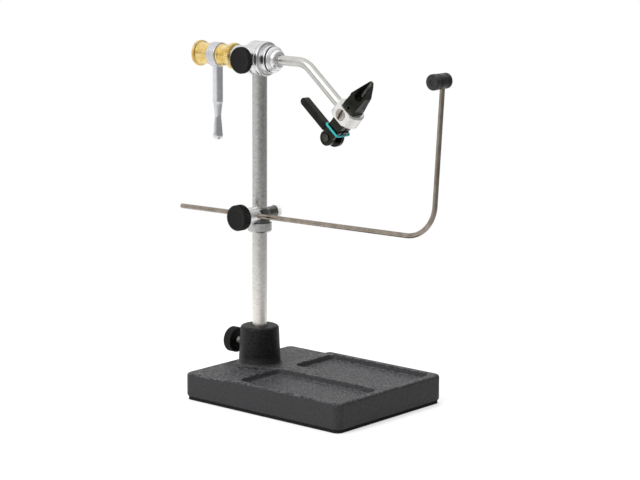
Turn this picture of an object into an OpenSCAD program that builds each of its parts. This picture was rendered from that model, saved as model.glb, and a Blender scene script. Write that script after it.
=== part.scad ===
// Rotary fly tying vise on a cast pedestal base, in millimetres.
// The origin is on the post's axis at the underside of the base, +Z is up,
// and +X runs along the base's long side, from the post towards the jaws.

/* [Base] */
// Length of the cast base, along X
base_l = 130; // [110:1:170]
// Width of the cast base, along Y
base_w = 103; // [90:1:130]
// Distance from the post's axis to the base's near end
base_end = 19; // [17:0.5:26]
// Height of the plateau round the boss above the pad
plateau_h = 15.6; // [13:0.2:22]
// How much higher the tray rims stand than the plateau
rim_rise = 1.4; // [0.6:0.1:3]
// Corner radius of the base seen from above
base_corner_r = 5; // [4:0.5:9]
// Rounding of the base's top and bottom edges
base_edge_r = 1.8; // [1:0.1:2.6]
// Thickness of the rubber pad under the base
pad_t = 1.8; // [1:0.1:3]
// How far the pad stays inside the casting's outline
pad_inset = 1; // [0.5:0.1:3]

/* [Trays] */
// Distance from the post's axis to the trays
tray_start = 23; // [20:0.5:34]
// Thickness of the rim round the trays
tray_rim = 5; // [4:0.5:9]
// Width of the rib between the two trays
tray_rib = 13; // [6:0.5:20]
// Depth of the trays below the rim
tray_depth = 3.4; // [2:0.1:6]
// Corner radius of the trays
tray_corner_r = 6; // [4:0.5:10]
// Rounding where the tray walls meet the floor
tray_floor_r = 1.6; // [0.8:0.1:1.8]
// Length of the slope from the plateau up to the rims
ramp_l = 7; // [4:0.5:9]

/* [Boss] */
// Height of the boss above the plateau
boss_h = 25.6; // [20:0.5:40]
// Diameter of the boss at its foot
boss_foot_d = 27.6; // [26:0.2:34]
// Diameter of the boss at its top
boss_top_d = 25; // [21:0.2:27]
// Fillet round the foot of the boss
boss_fillet_r = 2.6; // [1:0.1:4]
// Rounding of the boss's top edge
boss_edge_r = 2; // [0.6:0.1:3]
// Metal left under the post's bore
bore_floor = 4.2; // [3:0.2:8]
// Height of the thumbscrew below the boss's top
boss_screw_drop = 13; // [9:0.5:16]

/* [Post] */
// Diameter of the post, a 3/8 inch rod
post_d = 9.525; // [8:0.005:11]
// Height of the rotary axis above the table
axis_h = 217; // [190:1:260]

/* [Thumbscrews] */
// Diameter of the base and cradle thumbscrew heads
knob_d = 16.6; // [13:0.2:20]
// Thickness of the base and cradle thumbscrew heads
knob_t = 6.4; // [4.6:0.2:9]
// Diameter of the head's thumbscrew head
lock_knob_d = 17; // [14:0.2:21]
// Thickness of the head's thumbscrew head
lock_knob_t = 3.8; // [3.6:0.2:7]
// Thread diameter of every thumbscrew
screw_d = 4.76; // [4:0.02:5.4]
// Gap between the base thumbscrew's head and the boss's foot
knob_gap = 5; // [3:0.5:8]
// Number of teeth in a thumbscrew's knurl
knurl_n = 56; // [30:2:72]
// Depth of the knurl's teeth
knurl_h = 0.35; // [0.2:0.05:0.6]

/* [Head] */
// Diameter of the housing's barrel
barrel_d = 22.2; // [20:0.2:26]
// Length of the barrel in front of the post's axis
barrel_front = 7.1; // [6.5:0.1:10]
// Length of the barrel behind the post's axis
barrel_rear = 8; // [6.5:0.1:11]
// Diameter of the housing's front neck
front_neck_d = 18; // [14:0.2:19]
// Length of the housing's front neck
front_neck_l = 4.4; // [3:0.1:8]
// Diameter of the housing's rear neck
rear_neck_d = 14.6; // [14:0.2:19]
// Length of the housing's rear neck
rear_neck_l = 11.2; // [8:0.1:16]
// Width of each groove round the barrel
groove_w = 1.6; // [0.8:0.1:2]
// Depth of each groove round the barrel
groove_h = 0.6; // [0.3:0.1:1]
// Distance from the housing's side to the lock thumbscrew's head
lock_gap = 4.4; // [2:0.1:6]

/* [Rotary arm] */
// Diameter of the rotary shaft and arm, a 1/4 inch rod
shaft_d = 6.35; // [5:0.05:7.2]
// Thread diameter of the shaft's rear end
tail_d = 4.76; // [4:0.02:4.9]
// Outside diameter of the bushes
bush_d = 10; // [9:0.1:12]
// Diameter of the rotor collar
collar_d = 16.8; // [13:0.2:18]
// Length of the rotor collar
collar_l = 5.1; // [4:0.1:7]
// Rounding of the rotor collar's front
collar_r = 3; // [1.5:0.1:3.4]
// Diameter of the thrust washer
washer_d = 17.2; // [14:0.2:19]
// Thickness of the thrust washer
washer_t = 0.7; // [0.5:0.1:3]
// Distance from the post's axis to the point of the arm's bend
bend_x = 38.6; // [34:0.2:50]
// Radius of the arm's bend
bend_r = 15; // [10:0.5:22]
// Slope of the arm's leg below level, in degrees
arm_drop = 40; // [30:1:50]
// Length of the arm's leg from the bend to the jaws' axis
leg_l = 45.5; // [40:0.5:55]

/* [Crank] */
// Diameter of both brass knobs
brass_d = 16.8; // [14:0.2:20]
// Width of the knurled rim of the rear brass knob
rear_rim_w = 3; // [2:0.1:5]
// Width of the knurled rim of the front brass knob
front_rim_w = 4; // [2:0.1:5]
// Length of each brass knob
brass_l = 12.6; // [9:0.1:16]
// Diameter of each brass knob's end flange
brass_neck_d = 14.4; // [10:0.2:15]
// Number of teeth in a brass knob's knurl
brass_n = 40; // [24:2:56]
// Diameter of the crank's hub
hub_d = 16; // [12.4:0.2:18]
// Length of the crank's hub
hub_l = 7.5; // [7:0.1:11]
// Length of the crank's handle, from the hub's side to its end
handle_l = 48; // [36:1:70]
// Diameter of the handle's grip
handle_d = 6.8; // [5:0.2:7]
// Diameter of the handle's waist
waist_d = 4.2; // [3:0.2:5]
// Diameter of the handle's drop-shaped end
drop_d = 6.6; // [5:0.2:9]

/* [Jaws] */
// Diameter of the jaw collar
ring_d = 19; // [18:0.2:24]
// Length of the jaw collar along the jaws
ring_l = 9.4; // [8:0.2:12]
// Distance between the jaw collar's two flats
ring_flats = 14.4; // [14:0.2:17]
// Width of both jaws together, across their split
jaws_w = 10; // [8.6:0.2:10.4]
// Length of the jaws in front of the jaw collar's middle
jaw_front = 28.4; // [24:0.5:36]
// Distance from the jaw collar's middle back to the cam pin
jaw_rear = 20.7; // [18:0.1:26]
// Height of the jaws above their axis, on the arm's side
jaw_up = 4.2; // [3.4:0.1:4.4]
// Depth of the jaws below their axis
jaw_down = 5.9; // [4.6:0.1:6.1]
// Diameter of the slotted screws' heads
slot_head_d = 7.4; // [6:0.1:8]
// Length of the cam lever, from the cam pin to its end
lever_l = 32; // [24:0.5:44]
// Width of the cam lever
lever_w = 5; // [4:0.1:6]
// Thickness of the cam lever
lever_t = 4.6; // [4:0.1:6]
// Diameter of the cam pin
cam_pin_d = 3.2; // [2.4:0.1:3.6]
// Diameter of the cam pin's knurled nut
cam_nut_d = 10; // [9:0.2:13]
// Thickness of the round rubber band behind the jaw collar
band_d = 1.5; // [1.2:0.1:2.2]

/* [Cradle] */
// Height of the cradle rod's clamp above the table
cradle_h = 116.3; // [80:0.5:150]
// Diameter of the stop collar
stop_d = 15.6; // [14:0.2:19]
// Height of the stop collar
stop_h = 6; // [5:0.1:10]
// Diameter of the clamp's eye round the post
eye_d = 13.4; // [13:0.1:16]
// Diameter of the clamp's barrel
clamp_d = 10.8; // [9.6:0.1:12]
// Distance from the post's axis to the barrel's front end
clamp_reach = 16.4; // [14:0.2:22]
// Diameter of the clamp's tail
tail_stub_d = 7.3; // [6:0.1:8.4]
// Distance from the post's axis to the tail's end
tail_reach = 14; // [9.4:0.2:18]
// Diameter of the tail's bright cap
cap_d = 9.2; // [8:0.1:11]
// Thickness of the tail's bright cap
cap_t = 3; // [1.5:0.1:5]
// Diameter of the cradle rod, 1/8 inch
rod_d = 3.175; // [2.5:0.005:3.6]
// Length of the cradle rod behind the post's axis
rod_back = 64; // [40:1:90]
// Length of the cradle rod from the post's axis to its corner
rod_reach = 146.2; // [120:1:190]
// Radius of the cradle rod's bend
rod_bend_r = 22; // [10:0.5:30]
// Slope of the cradle rod above level, in degrees
rod_rise = 1; // [0:0.5:4]
// Lean of the rod's upright end beyond vertical, in degrees
upright_lean = 3.4; // [0:0.2:8]
// Length of the rod's upright end, from its corner to the spool's axis
upright_l = 96; // [70:1:120]
// Diameter of the spool's knurled end
spool_d = 9.8; // [8:0.1:14]
// Diameter of the spool at the bottom of its two grooves
spool_waist_d = 7.8; // [7:0.1:9.4]
// Length of the spool in front of the rod
spool_near = 10.6; // [6:0.1:12]
// Length of the spool behind the rod
spool_far = 3.8; // [3:0.1:9]

/* [Hidden] */
// Roundness of true curves, and of the curves that hulls join
$fn = 96;
hull_fn = 24;
// Radial clearance of a running fit, and the gap between faces that meet
fit = 0.04;
face_gap = 0.05;
// Overrun of every cut past the face that it opens
cut = 1;

// Base: heights and edges
plateau_z = pad_t + plateau_h;
rim_z = plateau_z + rim_rise;
base_x0 = -base_end;
base_x1 = base_l - base_end;
boss_z = plateau_z + boss_h;
bore_z = pad_t + bore_floor;
boss_screw_z = boss_z - boss_screw_drop;
tray_z = rim_z - tray_depth;
post_bore_d = post_d + 2 * fit;
bore_chamfer = post_d / 12;

// Thumbscrews: the thread reaches half way into the head
thread_hole_d = screw_d + 2 * fit;
head_bevel = knob_t / 20;
base_knob_x = boss_foot_d / 2 + knob_gap;

// Head: places along X from the post's axis
front_face = barrel_front + front_neck_l;
rear_face = -barrel_rear - rear_neck_l;
shaft_bore_d = shaft_d + 12 * fit;
bush_front_l = front_face - post_d / 2 - screw_d / 8;
bush_rear_l = rear_neck_l * 0.85;
post_top = axis_h - shaft_bore_d / 2 - bore_chamfer;
bevel = barrel_d / 30;
step_bevel = (barrel_d - rear_neck_d) / 4;
lock_knob_y = barrel_d / 2 + lock_gap;
// The grub screw that holds the head to the post, half way down the post's socket
grub_d = 4;
grub_z = (post_top + axis_h - barrel_d / 2) / 2;

// Rotor: places along X
washer_x = front_face + face_gap;
collar_x = washer_x + washer_t + face_gap;
drag_washer_t = 1;
drag_x = rear_face - drag_washer_t - 2 * face_gap;
hub_x = drag_x - brass_l - face_gap;
lock_x = hub_x - hub_l - face_gap;
tail_l = hub_l + brass_l * 0.85;
seat_h = hub_d / 12;

// Jaw frame: X along the jaws towards their tips, Z towards the arm
jaw_angle = 90 - arm_drop;
jaw_x = bend_x + leg_l * cos(arm_drop);
jaw_z = axis_h - leg_l * sin(arm_drop);
split = 0.12;
rock_gap = 0.9;
rock_room = 0.75;
plate_t = jaws_w / 4;
eye_t = jaws_w / 2 - plate_t - rock_room;
jaw_end_r = 4.1;
// Round rear ends of the jaws: the far one is the larger drum
near_end_r = 4.9;
drum_r = 6.4;
recess_w = jaw_rear - lever_w * 1.25;
lever_w0 = 2.3;
ring_clear_w = 0.3;
ring_clear_h = 0.2;
slot_shank_d = 4;
tip_w = 1.1;
tooth = 0.4;
tooth_step = 1.1;
tooth_n = 11;
tooth_turn = 35;
// Side profile of the jaws as shares of their front length, rise and depth
taper_share = 0.5;
shoulder_share = 0.44;
tip_share = 0.37;
// Rubber band: its place behind the jaw collar, and its clearance
band_w = 13;
band_gap = 0.3;
band_r = band_d;

// Cradle: places round the post
stop_z = cradle_h - clamp_d / 2 - stop_h;
eye_z = stop_z + stop_h + face_gap;
eye_h = clamp_d * 0.83;
rod_y = -(post_d / 2 + rod_d / 2 + face_gap);
rod_hole_d = rod_d + 2 * fit;
stop_bevel = stop_h / 6;
upright_angle = 90 - upright_lean;
rod_turn = upright_angle - rod_rise;
rod_tangent = rod_bend_r * tan(rod_turn / 2);

// A cylinder along +X, from its end at the origin
module bar_x(d, l) {
    rotate([0, 90, 0])
        cylinder(d = d, h = l);
}

// A cylinder along -Y, from its end at the origin
module bar_y(d, l) {
    rotate([90, 0, 0])
        cylinder(d = d, h = l);
}

// A round bar that sets out along +X from the origin and curves towards +Z.
// What follows it starts in the frame of its far end.
module bend(d, r, turn) {
    translate([0, 0, r])
        rotate([90, 0, 0])
            rotate([0, 0, -90])
                rotate_extrude(angle = turn)
                    translate([r, 0])
                        circle(d = d);
    translate([0, 0, r])
        rotate([0, -turn, 0])
            translate([0, 0, -r])
                children();
}

// The straight bar after a bend, ground a hair thinner and lapped into it
module after_bend(d, r, l) {
    translate([-r / 30, 0, 0])
        bar_x(d - fit, l + r / 30);
}

// A profile of [place, radius] points, turned about the X axis
module turned_x(points) {
    rotate([0, 90, 0])
        rotate_extrude()
            polygon([for (p = points) [p[1], p[0]]]);
}

// The outline of a straight knurl: teeth round a circle
function knurl(d, h, n) =
    [for (i = [0:2 * n - 1]) (d / 2 - (i % 2) * h) * [cos(i * 180 / n), sin(i * 180 / n)]];

// A knurled disc along +Z, its plain ends bevelled, with a blind hole from below
module knurled_disc(d, t, edge, h, n, hole_d, hole_l) {
    core = d - 2 * h - 2 * face_gap;
    difference() {
        union() {
            cylinder(d1 = core - 2 * edge, d2 = core, h = edge);
            translate([0, 0, edge])
                linear_extrude(t - 2 * edge)
                    polygon(knurl(d, h, n));
            translate([0, 0, t - edge])
                cylinder(d1 = core, d2 = core - 2 * edge, h = edge);
        }
        translate([0, 0, -cut])
            cylinder(d = hole_d, h = hole_l + cut);
    }
}

// A thumbscrew's head along +Z, its underside at the origin
module thumb_head(d, t) {
    knurled_disc(d, t, head_bevel, knurl_h, knurl_n, thread_hole_d, t / 2);
}

// A thumbscrew's thread along +Z: it reaches below the head's underside
module thumb_thread(t, reach) {
    translate([0, 0, -reach])
        cylinder(d = screw_d, h = reach + t / 2 - face_gap);
}

// One corner of a slab, rounded at its top and bottom edges
module slab_corner(r, edge, z0, z1) {
    for (z = [z0 + edge, z1 - edge])
        translate([0, 0, z])
            rotate_extrude($fn = hull_fn)
                translate([r - edge, 0])
                    circle(r = edge, $fn = hull_fn);
}

// A slab with rounded corners and edges
module slab(x0, x1, w, r, edge, z0, z1) {
    hull()
        for (x = [x0 + r, x1 - r], y = [-w / 2 + r, w / 2 - r])
            translate([x, y, 0])
                slab_corner(r, edge, z0, z1);
}

// The slope from the plateau up to the deck round the trays
module ramp() {
    hull()
        for (y = [-base_w / 2 + base_corner_r, base_w / 2 - base_corner_r]) {
            translate([tray_start - base_edge_r, y, 0])
                slab_corner(base_corner_r, base_edge_r, pad_t, rim_z);
            translate([tray_start - ramp_l, y, 0])
                slab_corner(base_corner_r, base_edge_r, pad_t, plateau_z);
        }
}

// One tray, as the shape that is cut away
module tray(side) {
    wide = (base_w - tray_rib) / 2 - tray_rim;
    middle = side * (tray_rib / 2 + wide / 2);
    translate([0, middle, 0])
        slab(tray_start, base_x1 - tray_rim, wide, tray_corner_r, tray_floor_r, tray_z,
             rim_z + tray_depth + tray_corner_r);
}

// The boss that takes the post, with a filleted foot and a rounded top
module boss() {
    slope = (boss_foot_d - boss_top_d) / 2;
    translate([0, 0, plateau_z - base_edge_r]) {
        cylinder(d = boss_foot_d, h = base_edge_r);
        translate([0, 0, base_edge_r]) {
            rotate_extrude()
                difference() {
                    square([boss_foot_d / 2 + boss_fillet_r, boss_fillet_r]);
                    translate([boss_foot_d / 2 + boss_fillet_r, boss_fillet_r])
                        circle(r = boss_fillet_r);
                }
            rotate_extrude()
                union() {
                    polygon([
                        [0, 0],
                        [boss_foot_d / 2, 0],
                        [boss_foot_d / 2 - slope, boss_h - boss_edge_r],
                        [0, boss_h - boss_edge_r]
                    ]);
                    translate([0, boss_h - boss_edge_r])
                        square([boss_top_d / 2 - boss_edge_r, boss_edge_r]);
                    intersection() {
                        translate([boss_top_d / 2 - boss_edge_r, boss_h - boss_edge_r])
                            circle(r = boss_edge_r);
                        square([boss_top_d, boss_h]);
                    }
                }
        }
    }
}

module base_casting() {
    color("#2d2d30")
        difference() {
            union() {
                slab(base_x0, base_x1, base_w, base_corner_r, base_edge_r, pad_t, plateau_z);
                slab(tray_start - base_corner_r - base_edge_r, base_x1, base_w, base_corner_r, base_edge_r,
                     pad_t, rim_z);
                ramp();
                boss();
            }
            tray(-1);
            tray(1);
            translate([0, 0, bore_z])
                cylinder(d = post_bore_d, h = boss_z);
            translate([0, 0, boss_z - bore_chamfer])
                cylinder(d1 = post_bore_d, d2 = post_bore_d + 2 * bore_chamfer, h = bore_chamfer + face_gap);
            translate([-boss_foot_d, 0, boss_screw_z])
                bar_x(thread_hole_d, boss_foot_d);
        }
}

module base_pad() {
    r = base_corner_r - pad_inset;
    color("#161616")
        linear_extrude(pad_t)
            union() {
                translate([base_x0 + pad_inset, -base_w / 2 + pad_inset + r])
                    square([base_l - 2 * pad_inset, base_w - 2 * pad_inset - 2 * r]);
                translate([base_x0 + pad_inset + r, -base_w / 2 + pad_inset])
                    square([base_l - 2 * pad_inset - 2 * r, base_w - 2 * pad_inset]);
                for (x = [base_x0 + pad_inset + r, base_x1 - pad_inset - r])
                    for (y = [-base_w / 2 + pad_inset + r, base_w / 2 - pad_inset - r])
                        translate([x, y])
                            circle(r = r);
            }
}

// The base thumbscrew's frame: +Z points away from the boss, along -X
module at_base_knob() {
    translate([-base_knob_x, 0, boss_screw_z])
        rotate([0, -90, 0])
            children();
}

module base_thumb_screw() {
    color("silver")
        at_base_knob()
            thumb_thread(knob_t, base_knob_x - post_d / 2 - face_gap);
}

module base_thumb_knob() {
    color("#1b1b1c")
        at_base_knob()
            thumb_head(knob_d, knob_t);
}

module post() {
    color("lightgray")
        translate([0, 0, bore_z])
            union() {
                cylinder(d1 = post_d - 2 * bore_chamfer, d2 = post_d, h = bore_chamfer);
                translate([0, 0, bore_chamfer])
                    cylinder(d = post_d, h = post_top - bore_z - bore_chamfer);
            }
}

module stop_collar() {
    hole_d = grub_d + 2 * fit;
    color("silver")
        difference() {
            translate([0, 0, stop_z])
                union() {
                    cylinder(d1 = stop_d - 2 * stop_bevel, d2 = stop_d, h = stop_bevel);
                    translate([0, 0, stop_bevel])
                        cylinder(d = stop_d, h = stop_h - stop_bevel);
                }
            translate([0, 0, stop_z - cut])
                cylinder(d = post_bore_d, h = stop_h + 2 * cut);
            translate([0, stop_d, stop_z + stop_h / 2])
                bar_y(hole_d, stop_d);
        }
}

// A grub screw along +Y with a hexagon socket, its tip at the origin
module grub_screw(d, l) {
    rotate([-90, 0, 0])
        difference() {
            cylinder(d = d, h = l);
            translate([0, 0, l / 2])
                cylinder(d = d / 2, h = l, $fn = 6);
        }
}

module stop_collar_screw() {
    color("dimgray")
        translate([0, post_d / 2 + face_gap, stop_z + stop_h / 2])
            grub_screw(grub_d, (stop_d - post_d) / 2 - stop_bevel / 2);
}

module clamp_body() {
    color("silver")
        difference() {
            union() {
                translate([0, 0, eye_z])
                    cylinder(d = eye_d, h = eye_h);
                intersection() {
                    translate([0, 0, cradle_h])
                        bar_y(clamp_d, clamp_reach);
                    translate([-clamp_d, -clamp_reach, eye_z])
                        cube([2 * clamp_d, clamp_reach, clamp_d]);
                }
                translate([0, tail_reach, cradle_h])
                    bar_y(tail_stub_d, tail_reach);
            }
            translate([0, 0, eye_z - cut])
                cylinder(d = post_bore_d, h = clamp_d + 2 * cut);
            translate([0, rod_y, cradle_h])
                rotate([0, -rod_rise, 0])
                    translate([-eye_d, 0, 0])
                        bar_x(rod_hole_d, 2 * eye_d);
            translate([0, rod_y, cradle_h])
                bar_y(thread_hole_d, clamp_reach);
            translate([0, tail_reach + cut, cradle_h])
                bar_y(tail_stub_d / 2, cut + tail_stub_d / 4);
        }
}

// The bright cap on the tail: a ring with a rounded rim and a stem
module clamp_cap() {
    round = cap_t / 3;
    color("whitesmoke")
        translate([0, tail_reach + face_gap, cradle_h])
            rotate([-90, 0, 0])
                union() {
                    rotate_extrude()
                        union() {
                            square([cap_d / 2 - round, cap_t]);
                            square([cap_d / 2, cap_t - round]);
                            translate([cap_d / 2 - round, cap_t - round])
                                circle(r = round);
                        }
                    translate([0, 0, -tail_stub_d / 4])
                        cylinder(d = tail_stub_d / 2 - 2 * fit, h = tail_stub_d / 4);
                }
}

// The cradle thumbscrew's frame: +Z points away from the post, along -Y
module at_clamp_knob() {
    translate([0, -clamp_reach - face_gap, cradle_h])
        rotate([90, 0, 0])
            children();
}

module clamp_thumb_screw() {
    color("silver")
        at_clamp_knob()
            thumb_thread(knob_t, clamp_reach + rod_y - rod_d / 2 - face_gap);
}

module clamp_thumb_knob() {
    color("#1b1b1c")
        at_clamp_knob()
            thumb_head(knob_d, knob_t);
}

// The rod's own frame: X along the rod, Z up, its origin beside the post
module at_rod() {
    translate([0, rod_y, cradle_h])
        rotate([0, -rod_rise, 0])
            children();
}

module cradle_rod() {
    color("#b9afa6")
        at_rod() {
            translate([-rod_back, 0, 0])
                bar_x(rod_d, rod_back + rod_reach - rod_tangent);
            translate([rod_reach - rod_tangent, 0, 0])
                bend(rod_d, rod_bend_r, rod_turn)
                    after_bend(rod_d, rod_bend_r, upright_l - rod_tangent);
        }
}

// The upright's frame: Z along the upright, its origin on the spool's axis
module at_spool() {
    at_rod()
        translate([rod_reach, 0, 0])
            rotate([0, 90 - rod_turn, 0])
                translate([0, 0, upright_l])
                    children();
}

// A knurled near end, a plain middle and a plain far end, parted by two grooves
module cradle_spool() {
    length = spool_near + spool_far;
    near_end = length * 0.28;
    far_groove = length * 0.8;
    gap = length / 50;
    waist = spool_waist_d / 2;
    r = spool_d * 0.485;
    depth = r - waist;
    color("#202021")
        at_spool()
            difference() {
                rotate([-90, 0, 0])
                    translate([0, 0, -spool_near])
                        union() {
                            knurled_disc(spool_d, near_end, near_end / 10, knurl_h / 2,
                                         knurl_n / 2, spool_d / 3, near_end / 8);
                            rotate_extrude()
                                polygon([
                                    [0, near_end / 2],
                                    [waist, near_end / 2],
                                    [waist, near_end + gap],
                                    [r, near_end + gap + depth],
                                    [r, far_groove - gap - depth],
                                    [waist, far_groove - gap],
                                    [waist, far_groove],
                                    [r, far_groove + depth],
                                    [r, length - gap],
                                    [r - gap, length],
                                    [0, length]
                                ]);
                        }
                translate([0, 0, -spool_d])
                    cylinder(d = rod_hole_d, h = spool_d + face_gap);
            }
}

module head_housing() {
    r = barrel_d / 2;
    color("silver")
        difference() {
            translate([0, 0, axis_h])
                turned_x([
                    [rear_face, 0],
                    [rear_face, rear_neck_d / 2 - bevel],
                    [rear_face + bevel, rear_neck_d / 2],
                    [-barrel_rear - step_bevel, rear_neck_d / 2],
                    [-barrel_rear + step_bevel, r - step_bevel / 2],
                    [-barrel_rear + 2 * step_bevel, r],
                    [-groove_w, r],
                    [-groove_w / 2, r - groove_h],
                    [groove_w / 2, r - groove_h],
                    [groove_w, r],
                    [barrel_front - 2 * groove_w, r],
                    [barrel_front - 1.5 * groove_w, r - groove_h],
                    [barrel_front - groove_w, r],
                    [barrel_front - bevel, r],
                    [barrel_front, r - bevel],
                    [barrel_front, front_neck_d / 2],
                    [front_face - bevel, front_neck_d / 2],
                    [front_face, front_neck_d / 2 - bevel],
                    [front_face, 0]
                ]);
            translate([rear_face - cut, 0, axis_h])
                bar_x(shaft_bore_d, front_face - rear_face + 2 * cut);
            translate([front_face - bush_front_l, 0, axis_h])
                bar_x(bush_d + 2 * fit, bush_front_l + cut);
            translate([rear_face - cut, 0, axis_h])
                bar_x(bush_d + 2 * fit, bush_rear_l + cut);
            translate([0, 0, axis_h - barrel_d])
                cylinder(d = post_bore_d, h = barrel_d - (axis_h - post_top) + face_gap);
            translate([0, 0, axis_h])
                bar_y(thread_hole_d, barrel_d);
            translate([0, barrel_d, grub_z])
                bar_y(grub_d + 2 * fit, barrel_d);
        }
}

module head_grub_screw() {
    side = sqrt(pow(barrel_d / 2, 2) - pow(axis_h - grub_z, 2));
    color("dimgray")
        translate([0, post_d / 2 + face_gap, grub_z])
            grub_screw(grub_d, side - post_d / 2);
}

// A plain bush along +X from the given place
module bush(x, l) {
    translate([x, 0, axis_h])
        difference() {
            bar_x(bush_d, l);
            translate([-cut, 0, 0])
                bar_x(shaft_d + 2 * fit, l + 2 * cut);
        }
}

module front_bush() {
    color("#8c6a32")
        bush(front_face - bush_front_l + face_gap, bush_front_l - face_gap);
}

module rear_bush() {
    color("#8c6a32")
        bush(rear_face, bush_rear_l - face_gap);
}

// The lock thumbscrew's frame: +Z points away from the housing, along -Y
module at_lock_knob() {
    translate([0, -lock_knob_y, axis_h])
        rotate([90, 0, 0])
            children();
}

module lock_thumb_screw() {
    color("silver")
        at_lock_knob()
            thumb_thread(lock_knob_t, lock_knob_y - shaft_d / 2 - face_gap);
}

module lock_thumb_knob() {
    color("#1b1b1c")
        at_lock_knob()
            thumb_head(lock_knob_d, lock_knob_t);
}

// The shaft and the arm are one bent rod, with a threaded tail behind
module rotary_arm() {
    tangent = bend_r * tan(arm_drop / 2);
    tip = leg_l - jaw_up - 4 * fit - face_gap;
    color("lightgray")
        translate([hub_x, 0, axis_h]) {
            translate([-tail_l, 0, 0])
                bar_x(tail_d, tail_l);
            bar_x(shaft_d, bend_x - tangent - hub_x);
            translate([bend_x - tangent - hub_x, 0, 0])
                rotate([180, 0, 0])
                    bend(shaft_d, bend_r, arm_drop)
                        after_bend(shaft_d, bend_r, tip - tangent);
        }
}

module thrust_washer() {
    color("#151515")
        translate([washer_x, 0, axis_h])
            difference() {
                bar_x(washer_d, washer_t);
                translate([-cut, 0, 0])
                    bar_x(shaft_d + 2 * fit, washer_t + 2 * cut);
            }
}

// The set screw's frame: -Y points out of the collar's rounded front, below the axis
module at_set_screw() {
    translate([collar_x + collar_l - collar_r * 0.63, 0, axis_h])
        rotate([40, 0, 0])
            translate([0, -shaft_d / 2 - 3 * face_gap - set_screw_d / 2, 0])
                rotate([0, 0, 45])
                    children();
}
set_screw_d = 2.2;
set_screw_l = collar_r * 0.42;

// A flange with a bevelled edge, and a rounded dome before it
module rotor_collar() {
    r = collar_d / 2;
    dome = r * 0.775;
    color("silver")
        difference() {
            translate([collar_x, 0, axis_h])
                rotate([0, 90, 0])
                    rotate_extrude()
                        difference() {
                            union() {
                                polygon([
                                    [0, 0],
                                    [r, 0],
                                    [r, collar_l * 0.16],
                                    [r * 0.82, collar_l * 0.45],
                                    [0, collar_l * 0.45]
                                ]);
                                square([dome - collar_r, collar_l]);
                                square([dome, collar_l - collar_r]);
                                translate([dome - collar_r, collar_l - collar_r])
                                    circle(r = collar_r);
                            }
                            translate([0, -cut - collar_r])
                                square([r, cut + collar_r]);
                        }
            translate([collar_x - cut, 0, axis_h])
                bar_x(shaft_d + 2 * fit, collar_l + 2 * cut);
            at_set_screw()
                bar_y(set_screw_d + 2 * fit, collar_d);
        }
}

module collar_set_screw() {
    color("dimgray")
        at_set_screw()
            difference() {
                translate([0, -face_gap, 0])
                    bar_y(set_screw_d, set_screw_l);
                translate([0, -set_screw_l / 2, 0])
                    rotate([90, 0, 0])
                        cylinder(d = set_screw_d / 2, h = set_screw_l, $fn = 6);
            }
}

module drag_washer() {
    color("gainsboro")
        translate([rear_face - face_gap - drag_washer_t, 0, axis_h])
            difference() {
                bar_x(rear_neck_d * 0.9, drag_washer_t);
                translate([-cut, 0, 0])
                    bar_x(shaft_d + 2 * fit, drag_washer_t + 2 * cut);
            }
}

// A brass knob along +X: a knurled rim, a cone down to the neck and a low end flange.
// Its hole runs in from the neck's end.
module brass_knob(rim_w, hole_d, hole_l) {
    edge = rim_w / 8;
    neck = brass_l / 6;
    root = brass_d / 2 - 3 * edge;
    difference() {
        union() {
            turned_x([
                [0, 0],
                [0, root - edge],
                [edge, root],
                [rim_w, root],
                [brass_l - 2.2 * neck, brass_neck_d / 2 - edge],
                [brass_l - neck, brass_neck_d / 2 - edge],
                [brass_l - neck + edge, brass_neck_d / 2],
                [brass_l, brass_neck_d / 2],
                [brass_l, 0]
            ]);
            translate([edge, 0, 0])
                rotate([0, 90, 0])
                    linear_extrude(rim_w - 2 * edge)
                        polygon(knurl(brass_d, 2 * edge, brass_n));
        }
        translate([brass_l - hole_l, 0, 0])
            bar_x(hole_d, hole_l + cut);
    }
}

// The front brass knob sets the drag on the shaft
module drag_knob() {
    color("goldenrod")
        translate([drag_x, 0, axis_h])
            mirror([1, 0, 0])
                brass_knob(front_rim_w, shaft_d + 2 * fit, brass_l + cut);
}

module crank_hub() {
    edge = hub_l / 10;
    r = hub_d / 2;
    color("gainsboro")
        difference() {
            translate([hub_x - hub_l, 0, axis_h])
                turned_x([
                    [0, 0],
                    [0, r - edge],
                    [edge, r],
                    [hub_l - edge, r],
                    [hub_l, r - edge],
                    [hub_l, 0]
                ]);
            translate([hub_x - hub_l - cut, 0, axis_h])
                bar_x(tail_d + 2 * fit, hub_l + 2 * cut);
            translate([hub_x - hub_l / 2, 0, axis_h - hub_d]) {
                cylinder(d = handle_d + 4 * fit, h = hub_d / 2 + seat_h);
                cylinder(d = handle_d / 2 + 2 * fit, h = hub_d / 2 + 3 * seat_h);
            }
        }
}

// The handle hangs below the hub: a straight grip, a waist and a drop-shaped end
module crank_handle() {
    top = -hub_d / 2 + seat_h - face_gap;
    low = -hub_d / 2 - handle_l;
    grip = handle_l * 0.47;
    waist = handle_l * 0.67;
    drop = low + drop_d / 2;
    color("gainsboro")
        translate([hub_x - hub_l / 2, 0, axis_h])
            union() {
                translate([0, 0, top - face_gap])
                    cylinder(d = handle_d / 2, h = 2 * seat_h);
                rotate_extrude()
                    polygon([
                        [0, top],
                        [handle_d / 2, top],
                        [handle_d / 2, -hub_d / 2 - grip],
                        [handle_d / 2 - handle_d / 16, -hub_d / 2 - grip - handle_d / 4],
                        [waist_d / 2, -hub_d / 2 - waist],
                        [waist_d / 2 + drop_d / 10, drop + drop_d],
                        [drop_d / 2 * cos(20), drop + drop_d / 2 * sin(20)],
                        [0, drop]
                    ]);
                translate([0, 0, drop])
                    sphere(d = drop_d);
            }
}

module crank_lock_knob() {
    color("goldenrod")
        translate([lock_x - brass_l, 0, axis_h])
            brass_knob(rear_rim_w, tail_d + 2 * fit, brass_l * 0.9);
}

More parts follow.
